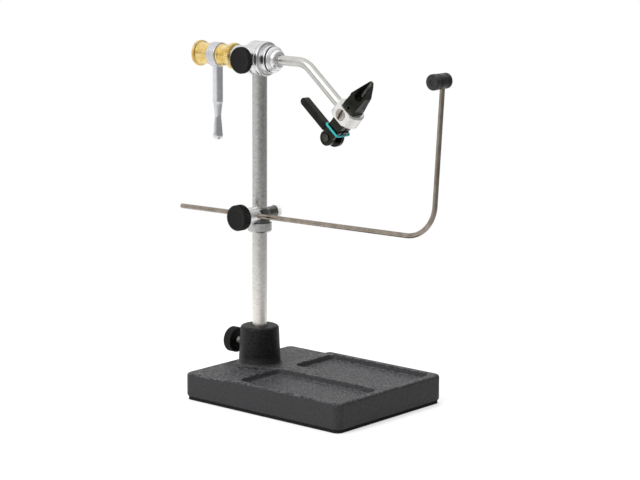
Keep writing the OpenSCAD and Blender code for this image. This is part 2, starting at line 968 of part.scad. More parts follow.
// The jaws' frame: X along the jaws to their tips, Z towards the arm
module at_jaws() {
    translate([jaw_x, 0, jaw_z])
        rotate([0, -jaw_angle, 0])
            children();
}

module jaw_collar() {
    edge = ring_l / 10;
    color("#e3e3e3")
        at_jaws()
            difference() {
                intersection() {
                    translate([-ring_l / 2, 0, 0])
                        turned_x([
                            [0, 0],
                            [0, ring_d / 2 - edge],
                            [edge, ring_d / 2],
                            [ring_l - edge, ring_d / 2],
                            [ring_l, ring_d / 2 - edge],
                            [ring_l, 0]
                        ]);
                    translate([-ring_l, -ring_flats / 2, -ring_d])
                        cube([2 * ring_l, ring_flats, 2 * ring_d]);
                }
                translate([-ring_l, -jaws_w / 2 - ring_clear_w, -jaw_down - ring_clear_h])
                    cube([2 * ring_l, jaws_w + 2 * ring_clear_w, jaw_down + jaw_up + 2 * ring_clear_h]);
                translate([0, 0, jaw_up])
                    cylinder(d = shaft_d + 2 * fit, h = ring_d);
                for (side = [-1, 1])
                    rotate([side * 90, 0, 0]) {
                        cylinder(d = slot_shank_d + 2 * fit, h = ring_flats);
                        translate([0, 0, ring_flats / 2 - slot_seat])
                            cylinder(d = slot_head_d + 2 * fit, h = ring_flats);
                    }
            }
}
slot_seat = 0.9;
slot_proud = 0.5;
slot_w = 1.2;
slot_turn = 14;

// Two slotted screws: each one's shank is the pivot of a jaw
module jaw_screws() {
    shank_l = ring_flats / 2 - jaws_w / 2 + plate_t / 2 - slot_seat + face_gap;
    color("#c9c0b8")
        at_jaws()
            for (side = [-1, 1])
                rotate([side * 90, 0, 0])
                    difference() {
                        union() {
                            translate([0, 0, jaws_w / 2 - plate_t / 2])
                                cylinder(d = slot_shank_d, h = shank_l);
                            translate([0, 0, ring_flats / 2 - slot_seat + face_gap])
                                cylinder(d = slot_head_d, h = slot_seat + slot_proud - face_gap);
                        }
                        translate([0, 0, ring_flats / 2 + slot_proud])
                            rotate([0, 0, slot_turn])
                                cube([2 * slot_head_d, slot_w, slot_seat], center = true);
                    }
}

// Seen from the side: the jaw's outline, with its round rear end
module jaw_side(end_r) {
    x1 = jaw_front * shoulder_share;
    x2 = jaw_front * taper_share;
    union() {
        polygon([
            [-jaw_rear, -jaw_end_r],
            [-ring_l, -jaw_down * 0.9],
            [-ring_l / 2, -jaw_down],
            [jaw_front * 0.63, -jaw_down],
            [jaw_front, -jaw_down * tip_share],
            [jaw_front, -jaw_down * 0.02],
            [x2, jaw_up * 1.1],
            [x1, jaw_up],
            [-ring_l, jaw_up],
            [-jaw_rear, jaw_end_r]
        ]);
        translate([-jaw_rear, 0])
            circle(r = end_r);
    }
}

// Seen from above: one half's outline, for the half on +Y
module jaw_plan() {
    w = jaws_w / 2;
    polygon([
        [-jaw_rear - 2 * jaw_end_r, w - plate_t],
        [-recess_w, w - plate_t],
        [-recess_w, rock_gap],
        [0, rock_gap],
        [ring_l / 4, split],
        [2 * jaw_front, split],
        [2 * jaw_front, split + tip_w],
        [jaw_front, split + tip_w],
        [jaw_front * 0.9, split + tip_w * 1.4],
        [jaw_front * 0.66, w * 0.6],
        [jaw_front * 0.45, w * 0.78],
        [jaw_front * 0.28, w],
        [-jaw_rear - 2 * jaw_end_r, w]
    ]);
}

// One jaw, for the half on +Y, with or without slanting teeth under it
module jaw(end_r, teeth) {
    dimple_d = 1.8;
    difference() {
        intersection() {
            rotate([90, 0, 0])
                linear_extrude(2 * jaws_w, center = true)
                    jaw_side(end_r);
            translate([0, 0, -jaws_w])
                linear_extrude(2 * jaws_w)
                    jaw_plan();
        }
        translate([0, ring_flats / 2, 0])
            bar_y(slot_shank_d * 1.1, ring_flats / 2 - jaws_w / 2 + plate_t);
        translate([-jaw_rear, jaws_w, 0])
            bar_y(cam_pin_d + 16 * fit, jaws_w);
        translate([ring_l * 0.67, jaws_w, -jaw_end_r / 6])
            bar_y(dimple_d, jaws_w / 2 + plate_t / 2);
        for (i = [1:teeth])
            translate([ring_l * 0.9 + i * tooth_step, jaws_w / 4, -jaw_down])
                rotate([0, 0, tooth_turn])
                    rotate([0, 45, 0])
                        cube([tooth, 2 * jaws_w, tooth], center = true);
        translate([-band_w, jaws_w / 2, 0])
            cube([band_d * 1.3, band_gap * 1.6, 3 * jaw_down], center = true);
    }
}

module far_jaw() {
    color("#242425")
        at_jaws()
            jaw(drum_r, tooth_n);
}

module near_jaw() {
    color("#242425")
        at_jaws()
            mirror([0, 1, 0])
                jaw(near_end_r, 0);
}

// The cam lever: a bar beside a round eye, which turns between the jaws' rear plates
module cam_lever() {
    root = drum_r + lever_w / 12;
    color("#2b2b2b")
        at_jaws()
            translate([-jaw_rear, 0, 0])
                difference() {
                    union() {
                        translate([0, eye_t, 0])
                            bar_y(2 * jaw_end_r * 0.95, 2 * eye_t);
                        translate([lever_w0 - lever_w / 2, -eye_t, 0])
                            cube([lever_w, 2 * eye_t, root + lever_w]);
                        translate([lever_w0 - lever_w / 2, -lever_t / 2, root])
                            cube([lever_w, lever_t, lever_l - lever_w / 2 - root]);
                        translate([lever_w0, lever_t / 2, lever_l - lever_w / 2])
                            bar_y(lever_w, lever_t);
                    }
                    translate([0, lever_t, 0])
                        bar_y(cam_pin_d + 2 * fit, 2 * lever_t);
                }
}

// The pin through both jaws' rear plates, with a low round head on the near side
module cam_pin() {
    head_t = 0.6;
    w = jaws_w / 2;
    color("#3a3a3a")
        at_jaws()
            translate([-jaw_rear, 0, 0])
                union() {
                    translate([0, w + cam_nut_t, 0])
                        bar_y(cam_pin_d, 2 * w + cam_nut_t + face_gap);
                    translate([0, -w - face_gap, 0])
                        bar_y(cam_pin_d * 1.5, head_t);
                }
}
cam_nut_t = 2.4;

module cam_nut() {
    color("#202020")
        at_jaws()
            translate([-jaw_rear, jaws_w / 2 + 2 * face_gap, 0])
                rotate([-90, 0, 0])
                    knurled_disc(cam_nut_d, cam_nut_t, cam_nut_t / 8, knurl_h, knurl_n / 2,
                                 cam_pin_d + 2 * fit, cam_nut_t + cut);
}

// The round rubber band's loop: straight sides and quarter turns about the jaws
module jaw_band() {
    y = jaws_w / 2 + band_gap + band_d / 2;
    z0 = -jaw_down * 0.9 - band_gap - band_d / 2;
    z1 = jaw_up + band_gap + band_d / 2;
    color("#2fb5b0")
        at_jaws()
            translate([-band_w, 0, 0]) {
                for (side = [-1, 1]) {
                    translate([0, side * y, z0 + band_r])
                        cylinder(d = band_d, h = z1 - z0 - 2 * band_r);
                    translate([0, y - band_r, side > 0 ? z1 : z0])
                        bar_y(band_d, 2 * (y - band_r));
                }
                for (i = [0:3])
                    translate([0, (i % 3 == 0 ? 1 : -1) * (y - band_r), i < 2 ? z1 - band_r : z0 + band_r])
                        rotate([90, 0, 90])
                            rotate([0, 0, 90 * i])
                                rotate_extrude(angle = 90)
                                    translate([band_r, 0])
                                        circle(d = band_d);
            }
}

base_casting();
base_pad();
base_thumb_screw();
base_thumb_knob();
post();
stop_collar();
stop_collar_screw();
clamp_body();
clamp_cap();
clamp_thumb_screw();
clamp_thumb_knob();
cradle_rod();
cradle_spool();
head_housing();
head_grub_screw();
front_bush();
rear_bush();
lock_thumb_screw();
lock_thumb_knob();
rotary_arm();
thrust_washer();
rotor_collar();
collar_set_screw();
drag_washer();
drag_knob();
crank_hub();
crank_handle();
crank_lock_knob();
jaw_collar();
jaw_screws();
near_jaw();
far_jaw();
cam_lever();
cam_pin();
cam_nut();
jaw_band();
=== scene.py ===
# %% [markdown]
# # A rotary fly tying vise
# The vise stands on a cast base with two trays. A post carries the head, the
# head carries a bent arm with the jaws, and a thin bent rod beside the post
# ends in a small spool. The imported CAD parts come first, because every piece
# made here sits where those parts say and rides on their bodies.

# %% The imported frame
import math

import bmesh
import bpy
from mathutils import Matrix, Vector


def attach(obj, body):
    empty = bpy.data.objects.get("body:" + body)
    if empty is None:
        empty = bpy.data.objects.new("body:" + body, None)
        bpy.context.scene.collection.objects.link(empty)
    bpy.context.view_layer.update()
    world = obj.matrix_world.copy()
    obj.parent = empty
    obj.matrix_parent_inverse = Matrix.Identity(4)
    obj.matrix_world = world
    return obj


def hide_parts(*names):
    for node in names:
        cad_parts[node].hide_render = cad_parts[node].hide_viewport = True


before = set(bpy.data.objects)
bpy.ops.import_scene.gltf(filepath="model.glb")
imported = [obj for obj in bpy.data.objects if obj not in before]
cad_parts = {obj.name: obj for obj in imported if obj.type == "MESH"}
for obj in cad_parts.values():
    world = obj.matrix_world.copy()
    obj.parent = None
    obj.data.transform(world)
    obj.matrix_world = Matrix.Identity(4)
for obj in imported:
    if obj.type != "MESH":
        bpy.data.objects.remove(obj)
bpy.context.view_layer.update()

# %% [markdown]
# ## The camera
# The photograph was taken from far off with a long lens, a little above the
# vise. A camera could be turned by eye until the two pictures agree. Here its
# lens and place were worked out from the straight lines of the base and the
# post, because a few degrees by eye would bend every other size.

# %% The camera
SENSOR_WIDTH, IMAGE_WIDTH, FOCAL_PIXELS = 36, 640, 2200
scene = bpy.context.scene
camera = bpy.data.objects.new("camera", bpy.data.cameras.new("camera"))
scene.collection.objects.link(camera)
camera.data.sensor_width = SENSOR_WIDTH
camera.data.lens = SENSOR_WIDTH * FOCAL_PIXELS / IMAGE_WIDTH
camera.data.clip_start = 0.01
camera.data.clip_end = 20
right = Vector((0.75909, 0.65097, 0.00506))
up = Vector((-0.12328, 0.13611, 0.98299))
back = Vector((0.63921, -0.7468, 0.18357))
camera.matrix_world = Matrix.Translation((0.93989, -1.03808, 0.36075)) @ Matrix(
    (right, up, back)).transposed().to_4x4()
scene.camera = camera
scene.view_settings.view_transform = "Standard"
print("camera at", tuple(round(v, 3) for v in camera.matrix_world.translation),
      "with a lens of", camera.data.lens, "mm")

# %% [markdown]
# ## Helpers for materials
# Colours are picked as sRGB hex values, as a paint program shows them, but
# Blender's shaders work in linear light, so one function turns the one into
# the other. A node graph could be built by hand in the editor. Here one small
# function adds a node, sets it and links it, so that a finish reads as a list.

# %% Colours and nodes
MM = 0.001


def colour(hex_value):
    channels = [int(hex_value[i:i + 2], 16) / 255 for i in (1, 3, 5)]
    linear = [c / 12.92 if c < 0.04045 else ((c + 0.055) / 1.055) ** 2.4 for c in channels]
    return (*linear, 1)


def set_inputs(tree, node, inputs):
    for name, value in inputs.items():
        if isinstance(value, bpy.types.NodeSocket):
            tree.links.new(value, node.inputs[name])
        else:
            node.inputs[name].default_value = value


def add(tree, kind, inputs=None, **settings):
    node = tree.nodes.new(kind)
    for name, value in settings.items():
        setattr(node, name, value)
    set_inputs(tree, node, inputs or {})
    return node


print("mid grey #808080 in linear light:", round(colour("#808080")[0], 3))

# %% Patterns sized in millimetres
# Soft spots about size millimetres wide. Stretch says how many times longer
# they are along each axis.
def spots(tree, place, size, detail=2, stretch=(1, 1, 1)):
    scale = [1 / (size * MM * s) for s in stretch]
    scaled = add(tree, "ShaderNodeMapping", {"Vector": place, "Scale": scale})
    return add(tree, "ShaderNodeTexNoise", {
        "Vector": scaled.outputs["Vector"], "Scale": 1, "Detail": detail}).outputs["Fac"]


# Rings round the local Z axis, as a lathe tool leaves them: the spots are
# looked up by distance from the axis and by height alone.
def turned(tree, place, pitch):
    axis = add(tree, "ShaderNodeSeparateXYZ", {"Vector": place})
    flat = add(tree, "ShaderNodeCombineXYZ", {"X": axis.outputs["X"], "Y": axis.outputs["Y"]})
    radius = add(tree, "ShaderNodeVectorMath", {0: flat.outputs["Vector"]}, operation="LENGTH")
    lookup = add(tree, "ShaderNodeCombineXYZ", {
        "X": radius.outputs["Value"], "Z": axis.outputs["Z"]})
    return spots(tree, lookup.outputs["Vector"], pitch, detail=3)


# Noise seldom leaves this middle part of its range, so a pattern that should
# reach both of its ends is stretched from here.
MIDDLE = {"From Min": 0.35, "From Max": 0.65}
print("spots 1 mm wide need a scale of", round(1 / MM))

# %% A surface and its two tones
def surface(name, **constants):
    material = bpy.data.materials.new(name)
    material.use_nodes = True
    tree = material.node_tree
    shader = tree.nodes["Principled BSDF"]
    set_inputs(tree, shader, {key.replace("_", " "): value for key, value in constants.items()})
    place = add(tree, "ShaderNodeTexCoord").outputs["Object"]
    return material, tree, shader, place


# A moulded or coated surface is never one flat colour: it drifts a little
# between two close tones.
def mottled(name, dark, light, size, detail=2, **constants):
    material, tree, shader, place = surface(name, **constants)
    drift = spots(tree, place, size, detail)
    tone = add(tree, "ShaderNodeMix", {0: drift, 6: colour(dark), 7: colour(light)}, data_type="RGBA")
    set_inputs(tree, shader, {"Base Color": tone.outputs[2]})
    return material, tree, shader, place


print("a colour mix has the factor in input 0 and its colours in 6 and 7")

# %% [markdown]
# ## The finishes
# Each material is named for what the real surface is and how it was made. A
# photograph could be wrapped round the pieces instead, but it would carry its
# own light. Two tones, a roughness and small dents hold up under any light.
# The base colours are matched to the object under the plain light below.

# %% [markdown]
# ### The base's coat
# A cast base is sprayed with powder that wrinkles as it bakes. A picture of the
# coat could be laid on, but it would stretch round the edges. A pattern in the
# piece's own space wraps every edge alike, so the speckle comes from two sizes
# of noise.

# %% Powder coat on the cast base
# Wrinkled powder coat, baked on iron: grains with pits between them, so the eye
# sees dull black with a grey speckle and no clear mirror image. Real grains are
# about 0.4 mm. Here they are 1.2 mm and the pits 3 mm, because finer ones would
# not show. On what faces up the speckle is stronger, because its lighter grains
# are painted highlights, and the boss is darker.
GRAIN, PIT = 1.2, 3
BOSS_FROM, BOSS_FULL = 20.5 * MM, 24 * MM
powder_coat, tree, shader, place = surface("powder_coat", Roughness=0.5, Specular_IOR_Level=0.26)
grains = spots(tree, place, GRAIN, detail=3)
coat_tones = []
# The second pair is for what faces up: its lighter grains are painted highlights.
for low, high, dark, light in ((0.38, 0.66, "#252526", "#303032"),
                               (0.4, 0.6, "#0a0a0b", "#505052"),
                               (0.4, 0.6, "#000000", "#1a1a1b")):
    share = add(tree, "ShaderNodeMapRange", {"Value": grains, "From Min": low, "From Max": high})
    coat_tones.append(add(tree, "ShaderNodeMix", {
        0: share.outputs["Result"], 6: colour(dark), 7: colour(light)}, data_type="RGBA").outputs[2])
side_tone, top_painted_highlights, boss_tone = coat_tones
print("powder coat: three pairs of tones")

# %% Where each pair of tones shows
normal = add(tree, "ShaderNodeNewGeometry").outputs["Normal"]
facing_up = add(tree, "ShaderNodeSeparateXYZ", {"Vector": normal}).outputs["Z"]
# What faces up gets the painted highlights on its grains.
up_for_painted_highlights = add(tree, "ShaderNodeMapRange", {"Value": facing_up, "From Min": 0.4, "From Max": 0.9})
slab_tone = add(tree, "ShaderNodeMix", {
    0: up_for_painted_highlights.outputs["Result"], 6: side_tone, 7: top_painted_highlights}, data_type="RGBA").outputs[2]
height = add(tree, "ShaderNodeSeparateXYZ", {"Vector": place}).outputs["Z"]
is_boss = add(tree, "ShaderNodeMapRange", {
    "Value": height, "From Min": BOSS_FROM, "From Max": BOSS_FULL})
coat_tone = add(tree, "ShaderNodeMix", {
    0: is_boss.outputs["Result"], 6: slab_tone, 7: boss_tone}, data_type="RGBA").outputs[2]
pits = add(tree, "ShaderNodeBump", {
    "Height": spots(tree, place, PIT, detail=3), "Strength": 1, "Distance": 0.12 * MM})
wrinkles = add(tree, "ShaderNodeBump", {
    "Height": grains, "Strength": 1, "Distance": 0.16 * MM, "Normal": pits.outputs["Normal"]})
set_inputs(tree, shader, {"Base Color": coat_tone, "Normal": wrinkles.outputs["Normal"]})
print("powder coat:", len(tree.nodes), "nodes")

# %% [markdown]
# ### Rubber and plastic
# Moulded, dyed and dipped surfaces have a colour of their own under a weak
# mirror image. They differ in how dark and how smooth they are, so each gets
# two close tones, and where the light catches it, fine dents too.

# %% Rubber of the pad
# Moulded rubber with a fine matt skin: almost no highlight, so it reads as a
# black line under the casting. Its 0.5 mm dents are coarser than the real skin.
pad_rubber, tree, shader, place = mottled(
    "moulded_rubber", "#0e0e0e", "#1b1b1b", 1.2, Roughness=0.8, Specular_IOR_Level=0.2)
skin = add(tree, "ShaderNodeBump", {
    "Height": spots(tree, place, 0.5), "Strength": 1, "Distance": 0.05 * MM})
set_inputs(tree, shader, {"Normal": skin.outputs["Normal"]})
print("pad:", len(tree.nodes), "nodes")

# %% Black anodised knobs
# Aluminium turned, then anodised black. The dye layer hides the metal, so it is
# no metal to the shader, and the tool's rings spread its highlight. Real rings
# are about 0.1 mm apart. Here they are 0.5 mm, which is the finest that shows.
black_anodised, tree, shader, place = mottled(
    "black_anodised_aluminium", "#0a0909", "#171514", 0.9, 3, Specular_IOR_Level=0.18)
sheen = add(tree, "ShaderNodeMapRange", {
    "Value": turned(tree, place, 0.5), **MIDDLE, "To Min": 0.36, "To Max": 0.5})
rings = add(tree, "ShaderNodeBump", {
    "Height": turned(tree, place, 0.45), "Strength": 1, "Distance": 0.02 * MM})
set_inputs(tree, shader, {"Roughness": sheen.outputs["Result"], "Normal": rings.outputs["Normal"]})
print("knobs:", len(tree.nodes), "nodes")

# %% Black plastic of the spool
# Black plastic from a mould, rubbed smooth: a soft clear highlight on black. Its
# 0.6 mm ripples are coarser than the real ones.
spool_black, tree, shader, place = mottled("moulded_black_spool", "#101010", "#1d1c1b", 1.5)
sheen = add(tree, "ShaderNodeMapRange", {
    "Value": spots(tree, place, 3), **MIDDLE, "To Min": 0.2, "To Max": 0.3})
ripples = add(tree, "ShaderNodeBump", {
    "Height": spots(tree, place, 0.6), "Strength": 1, "Distance": 0.02 * MM})
set_inputs(tree, shader, {"Roughness": sheen.outputs["Result"], "Normal": ripples.outputs["Normal"]})
print("spool:", len(tree.nodes), "nodes")

# %% Cap, washer and band
# A white moulded cap, smooth enough for a small highlight. A nylon washer, dark
# and dull. A dipped teal rubber band, whose colour drifts slowly along it.
white_cap = mottled("moulded_white_cap", "#f6f6f6", "#ffffff", 2.5, Roughness=0.3)[0]
black_nylon = mottled(
    "black_nylon", "#0c0c0c", "#161616", 1.0, Roughness=0.45, Specular_IOR_Level=0.3)[0]
teal_rubber = mottled("teal_rubber", "#128a8c", "#22a6a4", 7, Roughness=0.32)[0]
print("plain finishes:", white_cap.name, black_nylon.name, teal_rubber.name)

# %% [markdown]
# ### Metals
# Bare metal has no colour of its own under its mirror image: the image itself
# is tinted. How the surface was made sets how sharp that image is. One recipe
# could serve them all, but the post changes along its length, so it comes
# first and by itself.

# %% Drawn steel of the post
# Bar drawn through a die and left bare: pale, with soft cloudy reflections. It
# is darker towards its top. Its clouds are 2.4 mm wide, coarser than the die's
# own marks, which don't show.
DARKER_FROM, DARKER_FULL = 40 * MM, 130 * MM
drawn_steel, tree, shader, place = surface("drawn_steel", Metallic=1.0)
cloud = spots(tree, place, 2.4, stretch=(1, 1, 0.6))
share = add(tree, "ShaderNodeMapRange", {"Value": cloud, **MIDDLE}).outputs["Result"]
bar_tones = [add(tree, "ShaderNodeMix", {0: share, 6: colour(dark), 7: colour(light)},
                 data_type="RGBA").outputs[2]
             for dark, light in (("#e6e2dc", "#f9f5ef"), ("#b3b3b0", "#cccbc8"))]
height = add(tree, "ShaderNodeSeparateXYZ", {"Vector": place}).outputs["Z"]
is_darker = add(tree, "ShaderNodeMapRange", {
    "Value": height, "From Min": DARKER_FROM, "From Max": DARKER_FULL})
steel_tone = add(tree, "ShaderNodeMix", {
    0: is_darker.outputs["Result"], 6: bar_tones[0], 7: bar_tones[1]}, data_type="RGBA")
sheen = add(tree, "ShaderNodeMapRange", {"Value": cloud, **MIDDLE, "To Min": 0.3, "To Max": 0.38})
skin = add(tree, "ShaderNodeBump", {
    "Height": spots(tree, place, 0.5), "Strength": 1, "Distance": 0.002 * MM})
set_inputs(tree, shader, {"Base Color": steel_tone.outputs[2],
                          "Roughness": sheen.outputs["Result"], "Normal": skin.outputs["Normal"]})
print("post:", len(tree.nodes), "nodes")

# %% One recipe for the other metals
# A metal is all reflection, so its tone and its roughness are what the eye
# sees. Both drift together in soft clouds, as handling and polishing leave them.
# The clouds are 1.5 to 6 mm wide. The real grain is far finer and doesn't show.
def metal(name, dark, light, rough, size=3, stretch=(1, 1, 1), rings=0, depth=0):
    material, tree, shader, place = surface(name, Metallic=1.0)
    cloud = spots(tree, place, size, stretch=stretch)
    share = add(tree, "ShaderNodeMapRange", {"Value": cloud, **MIDDLE})
    tone = add(tree, "ShaderNodeMix", {
        0: share.outputs["Result"], 6: colour(dark), 7: colour(light)}, data_type="RGBA")
    sheen = add(tree, "ShaderNodeMapRange", {
        "Value": cloud, **MIDDLE, "To Min": rough * 0.9, "To Max": rough * 1.1})
    set_inputs(tree, shader, {"Base Color": tone.outputs[2], "Roughness": sheen.outputs["Result"]})
    if depth:
        fine = turned(tree, place, rings) if rings else spots(tree, place, size / 5, stretch=stretch)
        marks = add(tree, "ShaderNodeBump", {"Height": fine, "Strength": 1, "Distance": depth * MM})
        set_inputs(tree, shader, {"Normal": marks.outputs["Normal"]})
    return material


print("metal: tone and roughness drift together")

# %% Aluminium
# Turned and polished bar, for the housing: pale, with clear soft bands.
polished_aluminium = metal("turned_polished_aluminium", "#dadadc", "#e6e6e7", 0.25, 5)
# Turned and left, for the stop collar and a washer: rings 0.8 mm apart, where
# the real feed is finer, make it greyer.
satin_aluminium = metal(
    "satin_turned_aluminium", "#b9b9b9", "#c9c9c8", 0.34, 3, rings=0.8, depth=0.002)
# Fine turned and bright, for the rotor collar: almost white.
bright_aluminium = metal("bright_turned_aluminium", "#f2f2f3", "#fbfbfb", 0.36, 4)
# Cast and tumbled bright, for the clamp: white with blurred bands.
clamp_aluminium = metal("polished_cast_aluminium", "#f8f8f9", "#ffffff", 0.4, 4)
# Satin blasted, for the crank's hub: no band has an edge.
blasted_hub = metal("satin_blasted_aluminium", "#cfcfd3", "#dedee1", 0.4, 2)
# Brushed, for the handle: the sharpest bands of the vise.
handle_aluminium = metal("brushed_handle_aluminium", "#d6d7db", "#e4e5e9", 0.17, 4)
# Bead blasted, for the jaws' collar: pale and chalky.
blasted_aluminium = metal("bead_blasted_aluminium", "#eeece8", "#f9f8f4", 0.42, 2)
print("aluminium: seven finishes")

# %% Steel
# Ground stainless, for the bent rod: darker and warmer than aluminium.
ground_stainless = metal("ground_stainless", "#8b8177", "#a3988d", 0.28, 4, (1, 1, 2))
# Satin polished, for the bent arm: a soft light band along the bar.
satin_steel = metal("satin_polished_steel", "#c6c5c1", "#d2d1cd", 0.3, 6)
# Plain turned, for the slotted screws: warm grey rings.
plain_steel = metal("plain_turned_steel", "#a89e95", "#bdb3a9", 0.3, 2, rings=0.8, depth=0.002)
# Bare dark steel, for grub screws and the lever's pin, and as painted shade in the screws' slots.
dark_steel = metal("dark_steel", "#3b3836", "#5d5853", 0.35, 1.5)
# Dark steel, for the clamp's tail and eye, where on the eye it is a painted reflection of the black
# knob: mid grey and glossy.
tail_painted_dark = metal("dark_clamp_tail_painted_reflection", "#5e5d5c", "#706f6e", 0.26, 2.5)
# Zinc plated, for the thumbscrews' threads: grey with a fine sparkle.
screw_steel = metal("plated_screw_steel", "#8d8b88", "#bdbbb7", 0.28, 1.5, depth=0.01)
print("steel: six finishes")

# %% Blackened steel
# A black oxide layer is thin, so the steel still shines through it.
# On the jaws' flats: dark, a little green, with a clear soft mirror image.
black_oxide = metal("black_oxide_on_steel", "#292a26", "#343530", 0.22, 6)
# On the lever and its nut, tumbled after blackening: nearly the same tone.
satin_black = metal("satin_black_oxide", "#252624", "#2f302c", 0.22, 6)
# In the milled hollow: almost black, as painted shade in the hollow.
hollow_painted_shade = metal("black_oxide_with_painted_shade", "#090908", "#11110f", 0.18, 3)
# Along a second, finer cut in the hollow: a grey streak, a painted highlight.
streak_painted_highlight = metal("oxide_painted_highlight_streak", "#4b4a46", "#66645e", 0.2, 3)
print("blackened steel: four finishes")

# %% Brass and bronze
# Turned and polished brass, for the two knobs: clear yellow and mirror bright.
polished_brass = metal("polished_brass", "#ddb965", "#f6e0a0", 0.14, 5)
# Sintered bronze, for the bushes: brown and dull, with open pores.
sintered_bronze = metal("sintered_bronze", "#7a5a30", "#96713f", 0.5, 0.6, depth=0.03)
print("materials:", len(bpy.data.materials))

# %% [markdown]
# ## Helpers for shapes
# Most pieces of the vise were turned on a lathe, so most pieces here are too:
# an outline of a few corners is rounded at each corner and spun round an axis.
# A Screw modifier could spin it, but points worked out here can also carry
# knurls and threads. Sizes are in millimetres, as on a drawing, and the mesh
# is made in metres.

# %% Rounded outlines
# Corners are (along, out, radius). Each becomes an arc of its own radius.
def rounded(corners, step=15):
    points = []
    for i, (x, y, radius) in enumerate(corners):
        here = Vector((x, y))
        if not radius or i == 0 or i == len(corners) - 1:
            points.append(here)
            continue
        before = (Vector(corners[i - 1][:2]) - here).normalized()
        after = (Vector(corners[i + 1][:2]) - here).normalized()
        angle = before.angle(after)
        centre = here + (before + after).normalized() * (radius / math.sin(angle / 2))
        reach = radius / math.tan(angle / 2)
        start = here + before * reach - centre
        turn = start.angle_signed(here + after * reach - centre)
        count = max(2, math.ceil(abs(math.degrees(turn)) / step))
        for k in range(count + 1):
            bent = Matrix.Rotation(-turn * k / count, 2) @ start
            points.append(centre + bent)
    return points


print("one rounded corner:", len(rounded([(0, 0, 0), (5, 5, 1), (10, 0, 0)])) - 2, "points")

# %% Placing and shading
# Where a piece stands, and which way its own Z axis looks.
def facing(place, direction):
    turn = Vector(direction).to_track_quat("Z", "Y").to_matrix().to_4x4()
    return Matrix.Translation(Vector(place) * MM) @ turn


# Faces that meet at less than sharp degrees shade as one curve.
def smooth(made, sharp):
    made.data.shade_smooth()
    made.data.set_sharp_from_angle(angle=math.radians(sharp))
    weigh = made.modifiers.new("weigh", "WEIGHTED_NORMAL")
    weigh.keep_sharp = True


print("a place on the post's axis:", tuple(facing((0, 0, 100), (1, 0, 0)).translation))

# %% A new piece from points and faces
# Points closer than this are one point.
WELD = 0.002 * MM


def shaded(name, mesh, material, where=Matrix(), sharp=40):
    work = bmesh.new()
    work.from_mesh(mesh)
    bmesh.ops.remove_doubles(work, verts=work.verts, dist=WELD)
    bmesh.ops.recalc_face_normals(work, faces=work.faces)
    work.to_mesh(mesh)
    work.free()
    mesh.materials.clear()
    mesh.materials.append(material)
    made = bpy.data.objects.new(name, mesh)
    scene.collection.objects.link(made)
    made.matrix_world = where
    smooth(made, sharp)
    return made


def piece(name, points, faces, material, where=Matrix(), sharp=40):
    mesh = bpy.data.meshes.new(name)
    mesh.from_pydata([Vector(p) * MM for p in points], [], faces)
    return shaded(name, mesh, material, where, sharp)


print("points weld below", WELD / MM, "mm")

# %% Turning
# The outline holds (height, radius) points along local Z. Relief moves a point
# of the surface out or in, for knurls and threads. A ring closes on itself.
def lathe(name, outline, material, where, sides=96, relief=None, ring=False, sharp=40):
    points, faces = [], []
    for z, r in outline:
        for k in range(sides):
            a = 2 * math.pi * k / sides
            out = r + (relief(z, a) if relief and r else 0)
            points.append((out * math.cos(a), out * math.sin(a), z))
    rows = len(outline)
    for i in range(rows if ring else rows - 1):
        near, far = i * sides, (i + 1) % rows * sides
        for k in range(sides):
            nxt = (k + 1) % sides
            faces.append((near + k, near + nxt, far + nxt, far + k))
    return piece(name, points, faces, material, where, sharp)


print("a lathe's corner every", 360 / 96, "degrees")

# %% Drawing a bar
# A round bar along a path of (point, radius). It ends flat, or closes on itself.
def drawn(name, path, material, sides, closed=False):
    centres = [Vector(p) for p, r in path]
    count = len(centres)
    points, faces, side = [], [], None
    for i, (centre, radius) in enumerate(path):
        ahead = centres[(i + 1) % count] if closed else centres[min(i + 1, count - 1)]
        behind = centres[i - 1] if closed or i else centres[0]
        along = (ahead - behind).normalized()
        side = side or along.orthogonal()
        side = (side - along * side.dot(along)).normalized()
        other = along.cross(side)
        for k in range(sides):
            a = 2 * math.pi * k / sides
            points.append(centre + radius * (side * math.cos(a) + other * math.sin(a)))
    for i in range(count if closed else count - 1):
        near, far = i * sides, (i + 1) % count * sides
        for k in range(sides):
            nxt = (k + 1) % sides
            faces.append((near + k, near + nxt, far + nxt, far + k))
    if not closed:
        faces.append(tuple(range(sides)))
        faces.append(tuple(range((count - 1) * sides, count * sides)))
    return piece(name, points, faces, material)


print("a bar's section stays round, because each ring stands square to the path")

# %% A bend
# The points of a bar that runs straight, turns a corner and runs straight.
def cornered(start, corner, end, radius, step=4):
    start, corner, end = Vector(start), Vector(corner), Vector(end)
    before, after = (start - corner).normalized(), (end - corner).normalized()
    angle = before.angle(after)
    centre = corner + (before + after).normalized() * (radius / math.sin(angle / 2))
    reach = radius / math.tan(angle / 2)
    arc = [corner + before * reach - centre, corner + after * reach - centre]
    turn = math.pi - angle
    count = math.ceil(math.degrees(turn) / step)
    axis = arc[0].cross(arc[1]).normalized()
    bent = [centre + Matrix.Rotation(turn * k / count, 3, axis) @ arc[0] for k in range(count + 1)]
    return [start, *bent, end]


print("a right-angled bend:", len(cornered((0, 0, 0), (50, 0, 0), (50, 0, 50), 20)), "points")

# %% Carving and wearing
# A cut can leave slivers, so each cut mesh is welded and slivers are dissolved.
# Flat joins the CAD mesh's triangles where they meet at less than that angle.
def cleaned(mesh, flat=0.0):
    work = bmesh.new()
    work.from_mesh(mesh)
    bmesh.ops.remove_doubles(work, verts=work.verts, dist=WELD)
    bmesh.ops.dissolve_degenerate(work, dist=WELD / 2, edges=work.edges)
    if flat:
        bmesh.ops.dissolve_limit(work, angle_limit=flat, verts=work.verts, edges=work.edges)
    work.to_mesh(mesh)
    work.free()
    return mesh
